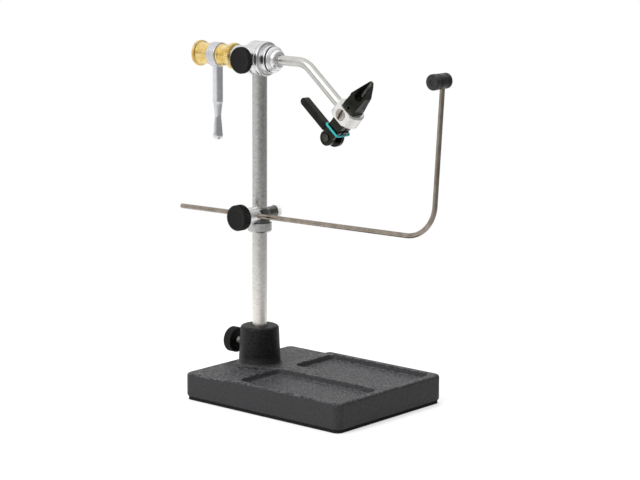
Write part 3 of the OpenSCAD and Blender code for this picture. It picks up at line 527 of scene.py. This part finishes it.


# The cut is made at once and the tool thrown away. TRANSFER leaves the tool's
# own finish on the faces that it cut. In the screws' slots and the jaws' hollows
# that finish is painted shade, and in the jaws' grooves a painted highlight.
def carve(target, tool, operation="DIFFERENCE", sharp=40):
    cut = target.modifiers.new("cut", "BOOLEAN")
    cut.operation, cut.solver, cut.object = operation, "EXACT", tool
    cut.material_mode = "TRANSFER"
    bpy.context.view_layer.update()
    solid = target.evaluated_get(bpy.context.evaluated_depsgraph_get())
    mesh = cleaned(bpy.data.meshes.new_from_object(solid))
    target.modifiers.clear()
    old, target.data = target.data, mesh
    bpy.data.meshes.remove(old)
    bpy.data.objects.remove(tool)
    smooth(target, sharp)


# Small bevels stand for the edges that tumbling and handling leave. The bevel
# goes first, so that the weighted normals see it.
def worn(made, width, sharp=30):
    bevel = made.modifiers.new("bevel", "BEVEL")
    bevel.width, bevel.segments = width * MM, 2
    bevel.limit_method, bevel.angle_limit = "ANGLE", math.radians(sharp)
    bevel.harden_normals = True
    made.modifiers.move(len(made.modifiers) - 1, 0)


print("slivers under", WELD / 2 / MM, "mm are dissolved")

# %% A copy of a CAD part, and a piece set on its body
# The copy may be carved and worn. Its flat faces are whole faces again.
NEARLY_FLAT = math.radians(0.6)


def dressed(node, name, material, width=0.0, sharp=30):
    mesh = cleaned(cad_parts[node].data.copy(), NEARLY_FLAT)
    made = shaded(name, mesh, material, sharp=sharp)
    if width:
        worn(made, width, sharp)
    return made


# The piece moves with its body and stands for its CAD parts.
def set_on(made, body, slot, *nodes):
    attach(made, body)
    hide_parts(*nodes)
    print(f"{made.name}: {len(made.data.polygons)} faces on {body}")


print("CAD parts in the frame:", len(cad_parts))

# %% [markdown]
# ## The base
# The base is one casting with soft edges everywhere. A box with a bevel would
# be quick, but its top is not flat: it follows a low step up to the deck. So its
# outline is stacked in rings, each a rounded rectangle. The trays are cut from
# the deck with a tool that has a round lip and a round floor edge.

# %% The base's sizes
# The pad's thickness, then the radius of the edges and of the upright corners.
PAD, EDGE, CORNER = 1.8, 1.8, 5.0
BASE_X, BASE_Y = (-19.0, 111.0), 51.5
PLATEAU, DECK = 17.4, 18.8
STEP_START, STEP_END = 12.4, 18.6
TRAY_X, TRAY_RIM, TRAY_RIB, TRAY_FLOOR = 23.0, 5.0, 13.0, 15.4


def deck_height(x):
    t = min(max((x - STEP_START) / (STEP_END - STEP_START), 0), 1)
    return PLATEAU + (DECK - PLATEAU) * t * t * (3 - 2 * t)


print("the deck stands", round(DECK - PLATEAU, 2), "mm over the plateau")

# %% One ring of the outline
# Points of an arc round (x, y), from the angle start through a quarter turn.
def quarter(x, y, radius, start, count):
    turns = [math.radians(start + 90 * k / (count - 1)) for k in range(count)]
    return [(x + radius * math.cos(a), y + radius * math.sin(a)) for a in turns]


# Stations are the places along X where the long sides have points.
ARC = 9
STATIONS = [BASE_X[0] + CORNER + 6 * k for k in (1, 2, 3)]
STATIONS += [STEP_START + (STEP_END - STEP_START) * k / 8 for k in range(9)]
STATIONS += [30, 45, 60, 75, 90]


def base_ring(inset, height):
    radius = CORNER - inset
    x0, x1 = BASE_X[0] + CORNER, BASE_X[1] - CORNER
    y = BASE_Y - CORNER
    ring = [(x, -BASE_Y + inset) for x in STATIONS]
    ring += quarter(x1, -y, radius, -90, ARC) + quarter(x1, y, radius, 0, ARC)
    ring += [(x, BASE_Y - inset) for x in reversed(STATIONS)]
    ring += quarter(x0, y, radius, 90, ARC) + quarter(x0, -y, radius, 180, ARC)
    return [(px, py, height(px)) for px, py in ring]


print("one ring:", len(base_ring(0, deck_height)), "points")

# %% The slab's rings
rings = []
for step in range(7):
    a = math.radians(90 - 15 * step)
    low = PAD + EDGE * (1 - math.sin(a))
    rings.append(base_ring(EDGE * (1 - math.cos(a)), lambda x: low))
for step in range(7):
    a = math.radians(15 * step)
    drop = EDGE * (1 - math.sin(a))
    rings.append(base_ring(EDGE * (1 - math.cos(a)), lambda x: deck_height(x) - drop))
print("the slab's rings:", len(rings))

# %% The slab
# Faces join each ring to the next. The top is strips across from the near side
# to the far side, because it bends at the step. The bottom is one flat face.
size = len(rings[0])
points = [p for ring in rings for p in ring]
faces = []
for i in range(len(rings) - 1):
    for k in range(size):
        nxt = (k + 1) % size
        faces.append((i * size + k, i * size + nxt, (i + 1) * size + nxt, (i + 1) * size + k))
top = (len(rings) - 1) * size
half = len(STATIONS) + 2 * ARC
near = range(len(STATIONS) + ARC)
far = range(half + len(STATIONS) - 1, len(STATIONS) + ARC - 1, -1)
for (a, b), (c, d) in zip(zip(near, far), zip(near[1:], far[1:])):
    faces.append((top + a, top + c, top + d, top + b))
faces.append((top, top + far[0], *range(top + half + len(STATIONS), top + size)))
faces.append(tuple(reversed(range(size))))
base_body = piece("base_body", points, faces, powder_coat)
print("slab:", len(faces), "faces")

# %% The trays
# The tool's wall, as (out, height, radius), runs from the floor up over the lip.
TRAY_WALL = [(0, TRAY_FLOOR, 0), (8, TRAY_FLOOR, 1.6), (9.6, DECK, 1.1), (12, DECK + 0.25, 0),
             (12, DECK + 6, 0)]
TRAY_CORNER, LIP_OUT, TRAY_ARC = 6, 3.6, 10


def tray_tool(side):
    wide = (2 * BASE_Y - TRAY_RIB) / 2 - TRAY_RIM
    middle = side * (TRAY_RIB + wide) / 2
    x0, x1 = TRAY_X + TRAY_CORNER, BASE_X[1] - TRAY_RIM - TRAY_CORNER
    y0, y1 = middle - wide / 2 + TRAY_CORNER, middle + wide / 2 - TRAY_CORNER
    walls = rounded(TRAY_WALL)[1:]
    rows, size = len(walls), 4 * TRAY_ARC
    points, faces = [], []
    for out, z in walls:
        for x, y, start in ((x1, y0, -90), (x1, y1, 0), (x0, y1, 90), (x0, y0, 180)):
            points += [(px, py, z) for px, py in quarter(x, y, out - LIP_OUT, start, TRAY_ARC)]
    for i in range(rows - 1):
        for k in range(size):
            nxt = (k + 1) % size
            faces.append((i * size + k, i * size + nxt, (i + 1) * size + nxt, (i + 1) * size + k))
    faces.append(tuple(range(size)))
    faces.append(tuple(range((rows - 1) * size, rows * size)))
    return piece("tray_tool", points, faces, powder_coat)


for side in (-1, 1):
    carve(base_body, tray_tool(side))
print("with its trays:", len(base_body.data.polygons), "faces")

# %% The boss
# It tapers up to the post's bore. Its foot reaches into the slab and spreads in
# a small fillet, so the two join without a seam.
boss_outline = rounded([
    (PLATEAU - 4, 0, 0), (PLATEAU - 4, 16.8, 0), (PLATEAU - 0.05, 16.6, 0), (PLATEAU, 13.8, 2.6),
    (43.0, 12.5, 2.0), (43.0, 5.6, 0.3), (42.2, 4.8, 0.2), (6.0, 4.8, 0), (6.0, 0, 0)])
boss = lathe("boss", boss_outline, powder_coat, Matrix())
carve(base_body, boss, "UNION", sharp=45)
set_on(base_body, "base", "base_coat", "base_casting")

# %% [markdown]
# ## Parts that keep their CAD shape
# The pad, the post and six small parts are right as they are. They could be
# made anew like the rest, but they are plain, tiny or hidden, so it would not
# show. They only need the finish of the real thing, such as rubber or bronze.

# %% Finishes of the kept parts
kept = {
    "base_pad": pad_rubber, "post": drawn_steel, "front_bush": sintered_bronze,
    "rear_bush": sintered_bronze, "head_grub_screw": dark_steel, "stop_collar_screw": dark_steel,
    "collar_set_screw": satin_steel, "cam_nut": satin_black,
}
for node, finish in kept.items():
    for place_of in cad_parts[node].material_slots:
        place_of.material = finish
print("kept as they are:", ", ".join(kept))

# %% [markdown]
# ## The thumbscrews
# Three knurled heads on threaded steel screws. A bump in the material could
# draw the knurl, but it would leave the rim a smooth circle against the white
# ground. So the lathe's relief moves the points of the rim itself.

# %% Main places, in millimetres
HEAD_Z, CLAMP_Z, BOSS_SCREW_Z = 217, 116.3, 30
ROD_Y = -6.4


# On the head's own axis, looking along +X or -X.
def on_shaft(x, way=1):
    return facing((x, 0, HEAD_Z), (way, 0, 0))


print("the head's axis is", HEAD_Z - CLAMP_Z, "mm above the clamp's")

# %% A knurled rim
# Straight teeth of one depth, between two heights.
def teeth(count, depth, low, high):
    def relief(z, a):
        if not low < z < high:
            return 0
        return -depth * abs(2 * (count * a / (2 * math.pi) % 1) - 1)
    return relief


# The knurl ends in a small chamfer on both sides, and the outer face is dished.
# Six points of the mesh go to each tooth.
KNURL, KNURL_DEPTH = 56, 0.34


def thumb_head(name, where, d, t, body, node):
    r = d / 2
    outline = [(0, 0), (0, r - 0.9), (0.06, r - 0.72), (0.3, r - 0.42), (0.38, r - 0.36),
               (0.5, r), (t - 0.5, r), (t - 0.38, r - 0.36), (t - 0.3, r - 0.42),
               (t - 0.1, r - 0.62), (t, r - 0.9), (t, r - 1.7), (t - 0.08, r - 1.95),
               (t - 0.16, r - 2.3), (t - 0.22, r - 3.2), (t - 0.22, 0.5), (t - 0.22, 0)]
    rim = teeth(KNURL, KNURL_DEPTH, 0.45, t - 0.45)
    set_on(lathe(name, outline, black_anodised, where, 6 * KNURL, rim), body, "knob_black", node)


print("a knurl tooth is", round(16.6 * math.pi / KNURL, 2), "mm wide on a 16.6 mm head")

# %% A thread
# The relief climbs by one pitch in each turn.
SCREW_D, PITCH = 4.76, 0.8


def thread(name, where, start, body, node):
    end = 0.4
    steps = math.ceil((end - start) / PITCH * 6)
    side = [(start + (end - start) * k / steps, SCREW_D / 2) for k in range(steps + 1)]

    def groove(z, a):
        return -0.5 * PITCH * abs(2 * ((z / PITCH - a / (2 * math.pi)) % 1) - 1)
    made = lathe(name, [(start, 0), *side, (end, 0)], screw_steel, where, 40, groove)
    set_on(made, body, "screw_steel", node)


print("thread: pitch", PITCH, "mm")

# %% The three thumbscrews
base_screw = facing((-18.8, 0, BOSS_SCREW_Z), (-1, 0, 0))
clamp_screw = facing((0, -16.45, CLAMP_Z), (0, -1, 0))
lock_screw = facing((0, -15.5, HEAD_Z), (0, -1, 0))
thumb_head("base_knob", base_screw, 16.6, 6.4, "base_thumbscrew", "base_thumb_knob")
thumb_head("clamp_knob", clamp_screw, 16.6, 6.4, "clamp_thumbscrew", "clamp_thumb_knob")
thumb_head("lock_knob", lock_screw, 17.0, 3.8, "lock_thumbscrew", "lock_thumb_knob")
thread("base_thread", base_screw, -13.9, "base_thumbscrew", "base_thumb_screw")
thread("clamp_thread", clamp_screw, -8.3, "clamp_thumbscrew", "clamp_thumb_screw")
thread("lock_thread", lock_screw, -12.2, "lock_thumbscrew", "lock_thumb_screw")

# %% [markdown]
# ## The cradle
# A clamp on the post holds a thin stainless rod, and a stop collar carries the
# clamp. The rod was bent cold from straight bar. A curve object could carry it,
# but a mesh drawn along one path keeps its round section through the bend. Its
# spool is a black plastic piece with two grooves, spun like the knobs.

# %% Stop collar and clamp
# The collar and the clamp's shell are already right in the CAD, so they are
# copied and get worn edges.
stop_ring = dressed("stop_collar", "stop_ring", satin_aluminium, 0.2)
set_on(stop_ring, "stop", "turned_aluminium", "stop_collar")
clamp_shell = dressed("clamp_body", "clamp_shell", clamp_aluminium, 0.15)
set_on(clamp_shell, "clamp", "turned_aluminium", "clamp_body")

# %% The clamp's dark tail
# The bright barrel round the rod ends BARREL_END from the post's axis. What
# lies behind that, or outside the barrel's radius, is the tail and the eye, in a
# darker tone that on the eye is a painted reflection of the black clamp knob.
BARREL_END, BARREL_R = -3.9, 5.5
clamp_shell.data.materials.append(tail_painted_dark)
dark = 0
for face in clamp_shell.data.polygons:
    x, y, z = face.center / MM
    # These faces take the dark tone, which on the eye is a painted reflection of the black knob.
    if y > BARREL_END or math.hypot(x, z - CLAMP_Z) > BARREL_R:
        face.material_index = 1
        dark += 1
print("dark faces of the clamp:", dark)

# %% The clamp's cap
cap_outline = rounded([
    (0, 0, 0), (0, 4.3, 0.3), (0.7, 4.6, 0.3), (2.6, 4.6, 0.9), (3.0, 3.2, 0.8),
    (3.0, 1.2, 0.1), (2.7, 0.9, 0.1), (2.7, 0, 0)], 12)
cap_button = lathe("cap_button", cap_outline, white_cap, facing((0, 14.05, CLAMP_Z), (0, 1, 0)))
set_on(cap_button, "clamp", "cap_bright", "clamp_cap")

# %% The bent rod
# The rod rises a little towards its bend, and its upright leans outwards. Its
# other end has a small chamfer.
RISE, LEAN = math.radians(1), math.radians(86.6)
ROD_R, ROD_BEND, ROD_BACK, ROD_AHEAD, ROD_UP = 1.5875, 22, 64, 146.2, 96
CHAMFER = 0.5
foot = Vector((0, ROD_Y, CLAMP_Z))
ahead = Vector((math.cos(RISE), 0, math.sin(RISE)))
upward = Vector((math.cos(LEAN), 0, math.sin(LEAN)))
corner = foot + ahead * ROD_AHEAD
tip = corner + upward * ROD_UP
path = [foot - ahead * ROD_BACK, *cornered(foot - ahead * (ROD_BACK - CHAMFER), corner, tip, ROD_BEND)]
radii = [1.2] + [ROD_R] * (len(path) - 1)
rod = drawn("bent_rod", list(zip(path, radii)), ground_stainless, 32)
set_on(rod, "cradle", "rod_stainless", "cradle_rod")

# %% The spool
# A knurled near end, a plain middle and a plain far end, parted by two grooves.
# It turns on the rod's tip, so it rides on its own body.
SPOOL_TEETH = 28
spool_outline = rounded([
    (0, 0, 0), (0.5, 1.5, 0.2), (0, 1.7, 0.1), (0, 4.3, 0.3), (0.5, 4.72, 0.1), (0.55, 4.9, 0),
    (3.5, 4.9, 0), (3.55, 4.72, 0.1), (4.05, 4.2, 0.1), (4.3, 3.9, 0.3), (5.2, 4.75, 0.5),
    (10.4, 4.75, 0.5), (11.4, 3.9, 0.3), (12.3, 4.75, 0.4), (13.9, 4.75, 0.5), (14.4, 4.2, 0.2),
    (14.4, 0, 0)])
spool_place = facing(tip + Vector((0, -10.6, 0)), (0, 1, 0))
spool = lathe("thread_spool", spool_outline, spool_black, spool_place, 8 * SPOOL_TEETH,
              teeth(SPOOL_TEETH, 0.18, 0.52, 3.53))
set_on(spool, "spool", "knob_black", "cradle_spool")

# %% [markdown]
# ## The rotary head
# The housing was turned from aluminium bar and polished. Its grooves and its
# rounded edges are what a polished part shows most: each one catches a thin
# bright or dark line. One bevel for all of them would look moulded, so every
# corner of the outline has its own radius.

# %% The housing
housing_outline = rounded([
    (-19.2, 5.1, 0), (-19.2, 7.3, 0.6), (-9.9, 7.3, 1.2), (-6.1, 10.25, 1), (-4.6, 11.1, 1.2),
    (-1.7, 11.1, 0.4), (-0.9, 10.4, 0.35), (0.9, 10.4, 0.35), (1.7, 11.1, 0.4), (3.8, 11.1, 0.4),
    (4.4, 10.45, 0.3), (4.9, 10.45, 0.3), (5.5, 11.1, 0.4), (7.1, 11.1, 0.8), (7.1, 9, 0.4),
    (11.5, 9, 0.7), (11.5, 5.1, 0)], 10)
housing = lathe("housing", housing_outline, polished_aluminium, on_shaft(0), 128, ring=True)
print("housing before its holes:", len(housing.data.polygons), "faces")

# %% Its three holes
# One takes the post from below, one the lock screw and one the grub screw.
HOLES = ((21, 4.8, (0, 0, 192.5), (0, 0, 1)),
         (14, 2.45, (0, -14, HEAD_Z), (0, 1, 0)),
         (9, 2.05, (0, 14, 209.35), (0, -1, 0)))
for reach, radius, place, way in HOLES:
    cutter = [(0, 0), (0, radius), (reach, radius), (reach, 0)]
    carve(housing, lathe("cutter", cutter, polished_aluminium, facing(place, way), 64))
set_on(housing, "head", "turned_aluminium", "head_housing")

# %% Washers
# BORE is the hole of every piece that sits on the shaft.
BORE = 3.22


def washer(name, thick, radius, material, x, slot, node):
    outline = rounded([(0, BORE, 0), (0, radius, 0.15), (thick, radius, 0.15), (thick, BORE, 0)])
    set_on(lathe(name, outline, material, on_shaft(x), ring=True), "rotor", slot, node)


washer("nylon_washer", 0.7, 8.6, black_nylon, 11.55, "washer_black", "thrust_washer")
washer("drag_ring", 1, 6.57, satin_aluminium, -20.25, "turned_aluminium", "drag_washer")

# %% The rotor collar
# The set screw's hole slants in from the lower front and opens at its mouth.
dome_outline = rounded([
    (0, BORE, 0), (0, 8.4, 0.15), (0.82, 8.4, 0.3), (2.3, 6.95, 0.25), (2.35, 6.5, 0.2),
    (5.1, 6.5, 2.5), (5.1, BORE, 0)], 8)
dome = lathe("rotor_dome", dome_outline, bright_aluminium, on_shaft(12.3), 128, ring=True)
screw_hole = facing((15.51, -3.39, 214.16), (0.7071, -0.5417, -0.4545))
cutter = rounded([(0, 0, 0), (0, 1.14, 0), (1.35, 1.14, 0.1), (3.5, 1.9, 0), (3.5, 0, 0)])
carve(dome, lathe("cutter", cutter, polished_aluminium, screw_hole, 48))
set_on(dome, "rotor", "turned_aluminium", "rotor_collar")

# %% [markdown]
# ## The arm
# The shaft and the arm are one 1/4 inch bar, bent once. Two cylinders would
# meet in a crease at the bend. It is drawn along its centre line like the rod,
# with its thinner threaded tail hidden in the crank.

# %% The bent arm
# The tail's (x, radius) pairs: a chamfer, the tail and the shaft's shoulder.
TAIL = ((-51.1, 2.1), (-50.8, 2.38), (-32.9, 2.38), (-32.8, 3.1))
ARM_R, ARM_BEND, ARM_START, ARM_CORNER, ARM_LEG = 3.17, 15, -32.5, 38.6, 41.05
drop = math.radians(40)
bend_at = Vector((ARM_CORNER, 0, HEAD_Z))
leg = Vector((math.cos(drop), 0, -math.sin(drop)))
path = cornered((ARM_START, 0, HEAD_Z), bend_at, bend_at + leg * ARM_LEG, ARM_BEND)
path = [Vector((x, 0, HEAD_Z)) for x, r in TAIL] + path
radii = [r for x, r in TAIL] + [ARM_R] * (len(path) - len(TAIL))
arm = drawn("bent_arm", list(zip(path, radii)), satin_steel, 48)
set_on(arm, "rotor", "arm_steel", "rotary_arm")

# %% [markdown]
# ## The brass knobs and the crank
# Polished brass with a coarse knurl. The teeth are real geometry again, deep
# enough for each to hold a dark and a bright side. The hub between the knobs
# carries the handle, which ends in a small drop. All of them are spun, because
# all of them came off a lathe.

# %% Brass knobs
# The drag knob has a through bore. The rear one is blind and has a centre mark.
BRASS_R, BRASS_TEETH, TAIL_BORE = 8.4, 40, 2.42


def brass_knob(name, where, rim, depth, through, body, node):
    face = [(0, BORE, 0)] if through else [(0, 0, 0), (0.3, 1.6, 0.1), (0, 2.0, 0.2)]
    inside = [(12.6, BORE, 0)] if through else [(12.6, TAIL_BORE, 0), (1.4, TAIL_BORE, 0), (1.4, 0, 0)]
    outline = rounded(face + [
        (0, 7.1, 0.3), (0.45, BRASS_R - depth, 0.05), (0.5, BRASS_R, 0), (rim - 0.5, BRASS_R, 0),
        (rim - 0.45, BRASS_R - depth, 0.05), (rim, 7.2, 0.3), (7.9, 6.75, 3), (10.4, 6.75, 0.5),
        (10.9, 7.2, 0.25), (12.6, 7.2, 0.35)] + inside, 10)
    knurl = teeth(BRASS_TEETH, depth, 0.48, rim - 0.48)
    made = lathe(name, outline, polished_brass, where, 8 * BRASS_TEETH, knurl, ring=through)
    set_on(made, body, "knob_brass", node)


brass_knob("drag_brass", on_shaft(-20.3, -1), 4.0, 0.6, True, "drag_knob", "drag_knob")
brass_knob("rear_brass", on_shaft(-53.1), 3.0, 0.55, False, "lock_knob", "crank_lock_knob")

# %% The crank's hub
hub_outline = rounded([(0, TAIL_BORE, 0), (0, 8, 0.9), (7.5, 8, 0.9), (7.5, TAIL_BORE, 0)], 10)
hub = lathe("crank_ring", hub_outline, blasted_hub, on_shaft(-40.45), 128, ring=True)
set_on(hub, "rotor", "hub_aluminium", "crank_hub")

# %% The crank's handle
# A straight grip, a thin neck and a ball-shaped drop at the end.
BALL, BALL_AT = 3.3, 52.7
ball = [(BALL_AT + BALL * math.sin(math.radians(a)), BALL * math.cos(math.radians(a)), 0)
        for a in range(-20, 90, 10)]
grip_outline = rounded([
    (6.8, 0, 0), (6.8, 3.4, 0), (30.6, 3.4, 0.8), (32.3, 2.98, 2), (40.2, 2.12, 12),
    (46.3, 2.72, 8), *ball, (BALL_AT + BALL, 0, 0)], 8)
grip_place = facing((-36.7, 0, HEAD_Z), (0, 0, -1))
grip = lathe("crank_grip", grip_outline, handle_aluminium, grip_place, 64)
set_on(grip, "rotor", "handle_aluminium", "crank_handle")

# %% [markdown]
# ## The jaws
# The jaws look milled from bar and blackened. Their shape could be modelled
# again, but the CAD jaws already have it, so they are copied. Then they are
# cut as a mill would cut them: a ball-ended cutter leaves a hollow along the
# side of each jaw up to its tip, painted nearly black as shade, and a smaller
# one a groove in the hollow, painted grey as a highlight streak.

# %% The jaws' own frame
# X runs along the jaws to their tip, and they stand steeply on the arm's end.
jaw_frame = Matrix.Translation(Vector((73.455, 0, 187.753)) * MM) @ Matrix.Rotation(
    math.radians(-50), 4, "Y")


def from_jaws(x, y, z):
    return jaw_frame @ (Vector((x, y, z)) * MM) / MM


print("the jaws' tip is near", tuple(round(v) for v in from_jaws(33, 0, 0)))

# %% Two milled jaws
# The cutter is a bar with a half ball at its start. The far jaw mirrors the near
# one, so side is -1 or 1.
def ball_cut(made, start, end, radius, material):
    start, end = from_jaws(*start), from_jaws(*end)
    length = (end - start).length
    nose = [math.radians(a) for a in range(0, 91, 9)]
    cutter = [(-radius * math.cos(a), radius * math.sin(a)) for a in nose]
    cutter += [(length, radius), (length, 0)]
    carve(made, lathe("cutter", cutter, material, facing(start, end - start), 64), sharp=30)


def milled_jaw(name, node, side):
    made = dressed(node, name, black_oxide)
    # The hollow's faces take painted shade.
    ball_cut(made, (16.6, side * 5.42, -1.1), (33.0, side * 3.93, -1.25), 3.6, hollow_painted_shade)
    # The groove's faces take a painted highlight streak.
    ball_cut(made, (18.2, side * 3.82, -1.6), (33.0, side * 2.38, -1.5), 2.2, streak_painted_highlight)
    worn(made, 0.22)
    return made


near = milled_jaw("near_jaw_milled", "near_jaw", -1)
set_on(near, "near_jaw", "jaw_black", "near_jaw")
far = milled_jaw("far_jaw_milled", "far_jaw", 1)
set_on(far, "far_jaw", "jaw_black", "far_jaw")

# %% The jaws' collar
jaw_ring = dressed("jaw_collar", "jaw_ring", blasted_aluminium, 0.18)
set_on(jaw_ring, "rotor", "collar_white", "jaw_collar")

# %% The two slotted screws
# A low domed head on each side. The slot's cutter is a square bar, so it is
# turned with only four sides, and it leaves dark steel behind as painted shade
# in the slot.
SCREW_OUT, SLOT_OUT, SLOT_TURN = 6.3, 7.72, 6
head_outline = rounded([(0, 0, 0), (0, 3.65, 0.1), (1.0, 3.65, 0.4), (1.35, 2.9, 1.5), (1.42, 0, 0)], 8)
quarter_turn = Matrix.Rotation(math.pi / 2, 4, "Y")
on_its_flat = Matrix.Rotation(math.pi / 4, 4, "Z")


def slotted_screw(name, side):
    outward = jaw_frame.to_3x3() @ Vector((0, side, 0))
    place = facing(from_jaws(0, side * SCREW_OUT, 0), outward)
    screw = lathe(name, head_outline, plain_steel, place)
    slot = lathe("cutter", [(-6, 0), (-6, 0.65), (6, 0.65), (6, 0)], dark_steel, Matrix(), 4)
    turn = Matrix.Rotation(side * math.radians(SLOT_TURN), 4, "Y")
    slot.matrix_world = (jaw_frame @ Matrix.Translation((0, side * SLOT_OUT * MM, 0)) @ turn
                         @ quarter_turn @ on_its_flat @ Matrix.Diagonal((1.8, 1.4, 1, 1)))
    carve(screw, slot)
    set_on(screw, "rotor", "screw_steel", "jaw_screws")


slotted_screw("near_slotted_screw", -1)
slotted_screw("far_slotted_screw", 1)

# %% The cam lever and its pin
lever = dressed("cam_lever", "cam_bar", satin_black, 0.25)
set_on(lever, "lever", "lever_black", "cam_lever")
pin = dressed("cam_pin", "cam_rivet", dark_steel, 0.12)
set_on(pin, "lever", "lever_black", "cam_pin")

# %% [markdown]
# ## The rubber band
# A small round band pulls the jaws' rear ends together. Cloth or a soft body
# could stretch it round them, but here it keeps one shape and rides with the
# jaws' collar, so it is one closed loop round a rectangle with round corners.

# %% The band's loop
BAND_X, BAND_R, BAND_CORNER, BAND_STEPS = -13, 0.75, 1.5, 9
BAND_CORNERS = ((4.55, 3.75, 0), (-4.55, 3.75, 90), (-4.55, -4.86, 180), (4.55, -4.86, 270))
band_loop = []
for middle_y, middle_z, start in BAND_CORNERS:
    for y, z in quarter(middle_y, middle_z, BAND_CORNER, start, BAND_STEPS):
        band_loop.append((from_jaws(BAND_X, y, z), BAND_R))
band = drawn("rubber_loop", band_loop, teal_rubber, 20, closed=True)
set_on(band, "rotor", "band_teal", "jaw_band")

# %% [markdown]
# ## The floor and the light
# The photograph has a white ground and soft light from all round. Many strong
# lamps could give that, but they would bleach the vise. So a white world does
# most of the work at a plain level, two wide lamps give the shapes a brighter
# and a darker side, and the ground is made white for the camera alone.

# %% Which rays look
def seen_by(tree, *kinds):
    rays = add(tree, "ShaderNodeLightPath")
    seen = rays.outputs[kinds[0]]
    for kind in kinds[1:]:
        seen = add(tree, "ShaderNodeMath", {0: seen, 1: rays.outputs[kind]},
                   operation="MAXIMUM").outputs[0]
    return seen


print("light path: one output for each kind of ray")

# %% The floor's shadow
# Near the vise the floor takes its shadow, and further out it fades to white.
# The distances are in metres from the post.
floor_paper, tree, shader, place = surface(
    "white_floor", Roughness=0.9, Base_Color=colour("#f4f4f4"))
distance = add(tree, "ShaderNodeVectorMath", {0: place}, operation="LENGTH").outputs["Value"]
fade = add(tree, "ShaderNodeMapRange", {
    "Value": distance, "From Min": 0.1, "From Max": 0.4, "To Min": 0.5, "To Max": 1},
    interpolation_type="SMOOTHSTEP")
seen = seen_by(tree, "Is Camera Ray", "Is Glossy Ray", "Is Transmission Ray")
share = add(tree, "ShaderNodeMath", {0: fade.outputs["Result"], 1: seen}, operation="MULTIPLY")
print("floor: half white near the post, all white from 0.4 m")

# %% The floor's tone
# What shines sees the floor darker on the right than on the left, so that
# polished metal has a dark side to show.
DARK_SIDE = 0.33
side = add(tree, "ShaderNodeVectorMath", {0: place, 1: (-0.97, -0.25, 0)}, operation="DOT_PRODUCT")
dim = add(tree, "ShaderNodeMapRange", {
    "Value": side.outputs["Value"], "From Min": -0.9, "From Max": 0.6,
    "To Min": DARK_SIDE, "To Max": 1}, interpolation_type="SMOOTHSTEP")
lit = add(tree, "ShaderNodeMix", {
    0: seen_by(tree, "Is Glossy Ray"), 2: 1.0, 3: dim.outputs["Result"]})
white = add(tree, "ShaderNodeEmission", {"Strength": lit.outputs[0]})
paper = add(tree, "ShaderNodeMixShader", {
    0: share.outputs[0], 1: shader.outputs["BSDF"], 2: white.outputs["Emission"]})
set_inputs(tree, tree.nodes["Material Output"], {"Surface": paper.outputs["Shader"]})
print("floor:", len(tree.nodes), "nodes")

# %% The floor itself
HALF_FLOOR = 4
floor_mesh = bpy.data.meshes.new("floor")
floor_mesh.from_pydata(
    [(x * HALF_FLOOR, y * HALF_FLOOR, 0) for x, y in ((-1, -1), (1, -1), (1, 1), (-1, 1))],
    [], [(0, 1, 2, 3)])
floor_mesh.materials.append(floor_paper)
floor = bpy.data.objects.new("floor", floor_mesh)
scene.collection.objects.link(floor)
print("floor:", 2 * HALF_FLOOR, "m wide")

# %% The world
# The camera sees plain white. What shines sees a room that is white overhead
# and on the left, and grey towards the horizon and the right.
ROOM_LEVEL = 0.6
world = bpy.data.worlds.new("studio")
scene.world = world
world.use_nodes = True
tree = world.node_tree
way = add(tree, "ShaderNodeTexCoord").outputs["Generated"]
bright_side = add(tree, "ShaderNodeVectorMath", {0: way, 1: (-0.44, -0.11, 0.9)},
                  operation="DOT_PRODUCT")
room = add(tree, "ShaderNodeMapRange", {
    "Value": bright_side.outputs["Value"], "From Min": 0, "From Max": 0.75,
    "To Min": DARK_SIDE, "To Max": 1}, interpolation_type="SMOOTHSTEP").outputs["Result"]
diffuse_light = add(tree, "ShaderNodeMath", {0: room, 1: ROOM_LEVEL}, operation="MULTIPLY").outputs[0]
print("world: from", DARK_SIDE, "to 1 for what shines")

# %% The soft patch
# A lamp's own mirror image on polished metal is hard, white and noisy. So the
# lamps are hidden from glossy rays, and a soft patch in the world, where the
# front lamp hangs, gives the metal its highlights.
PATCH_WAY, PATCH_EDGE, PATCH = (0.07, -0.75, 0.66), 0.86, 1.8
towards_lamp = add(tree, "ShaderNodeVectorMath", {0: way, 1: PATCH_WAY}, operation="DOT_PRODUCT")
patch = add(tree, "ShaderNodeMapRange", {
    "Value": towards_lamp.outputs["Value"], "From Min": PATCH_EDGE, "From Max": 1,
    "To Min": 0, "To Max": PATCH}, interpolation_type="SMOOTHSTEP")
shown = add(tree, "ShaderNodeMath", {0: room, 1: patch.outputs["Result"]}, operation="ADD").outputs[0]
level = add(tree, "ShaderNodeMix", {
    0: seen_by(tree, "Is Glossy Ray"), 2: diffuse_light, 3: shown}).outputs[0]
level = add(tree, "ShaderNodeMix", {
    0: seen_by(tree, "Is Camera Ray", "Is Transmission Ray"), 2: level, 3: 1.0}).outputs[0]
set_inputs(tree, tree.nodes["Background"], {"Strength": level, "Color": (1, 1, 1, 1)})
print("world:", len(tree.nodes), "nodes")

# %% The lamps
# Both are wide discs, because a wide lamp has a soft shadow. Their strengths are
# in watts, low enough that a colour renders about as it is written.
AIM = Vector((0.03, 0, 0.1))


def lamp(name, place, size, watts):
    light = bpy.data.lights.new(name, "AREA")
    light.shape, light.size, light.energy = "DISK", size, watts
    made = bpy.data.objects.new(name, light)
    scene.collection.objects.link(made)
    made.location = place
    made.visible_glossy = False
    made.rotation_euler = (AIM - Vector(place)).to_track_quat("-Z", "Y").to_euler()
    print(f"{name}: {watts} W, {size} m wide")


lamp("key_lamp", (-0.15, -1.35, 1.25), 1.3, 28)
lamp("top_lamp", (-0.3, 0.3, 1.8), 1.2, 26)
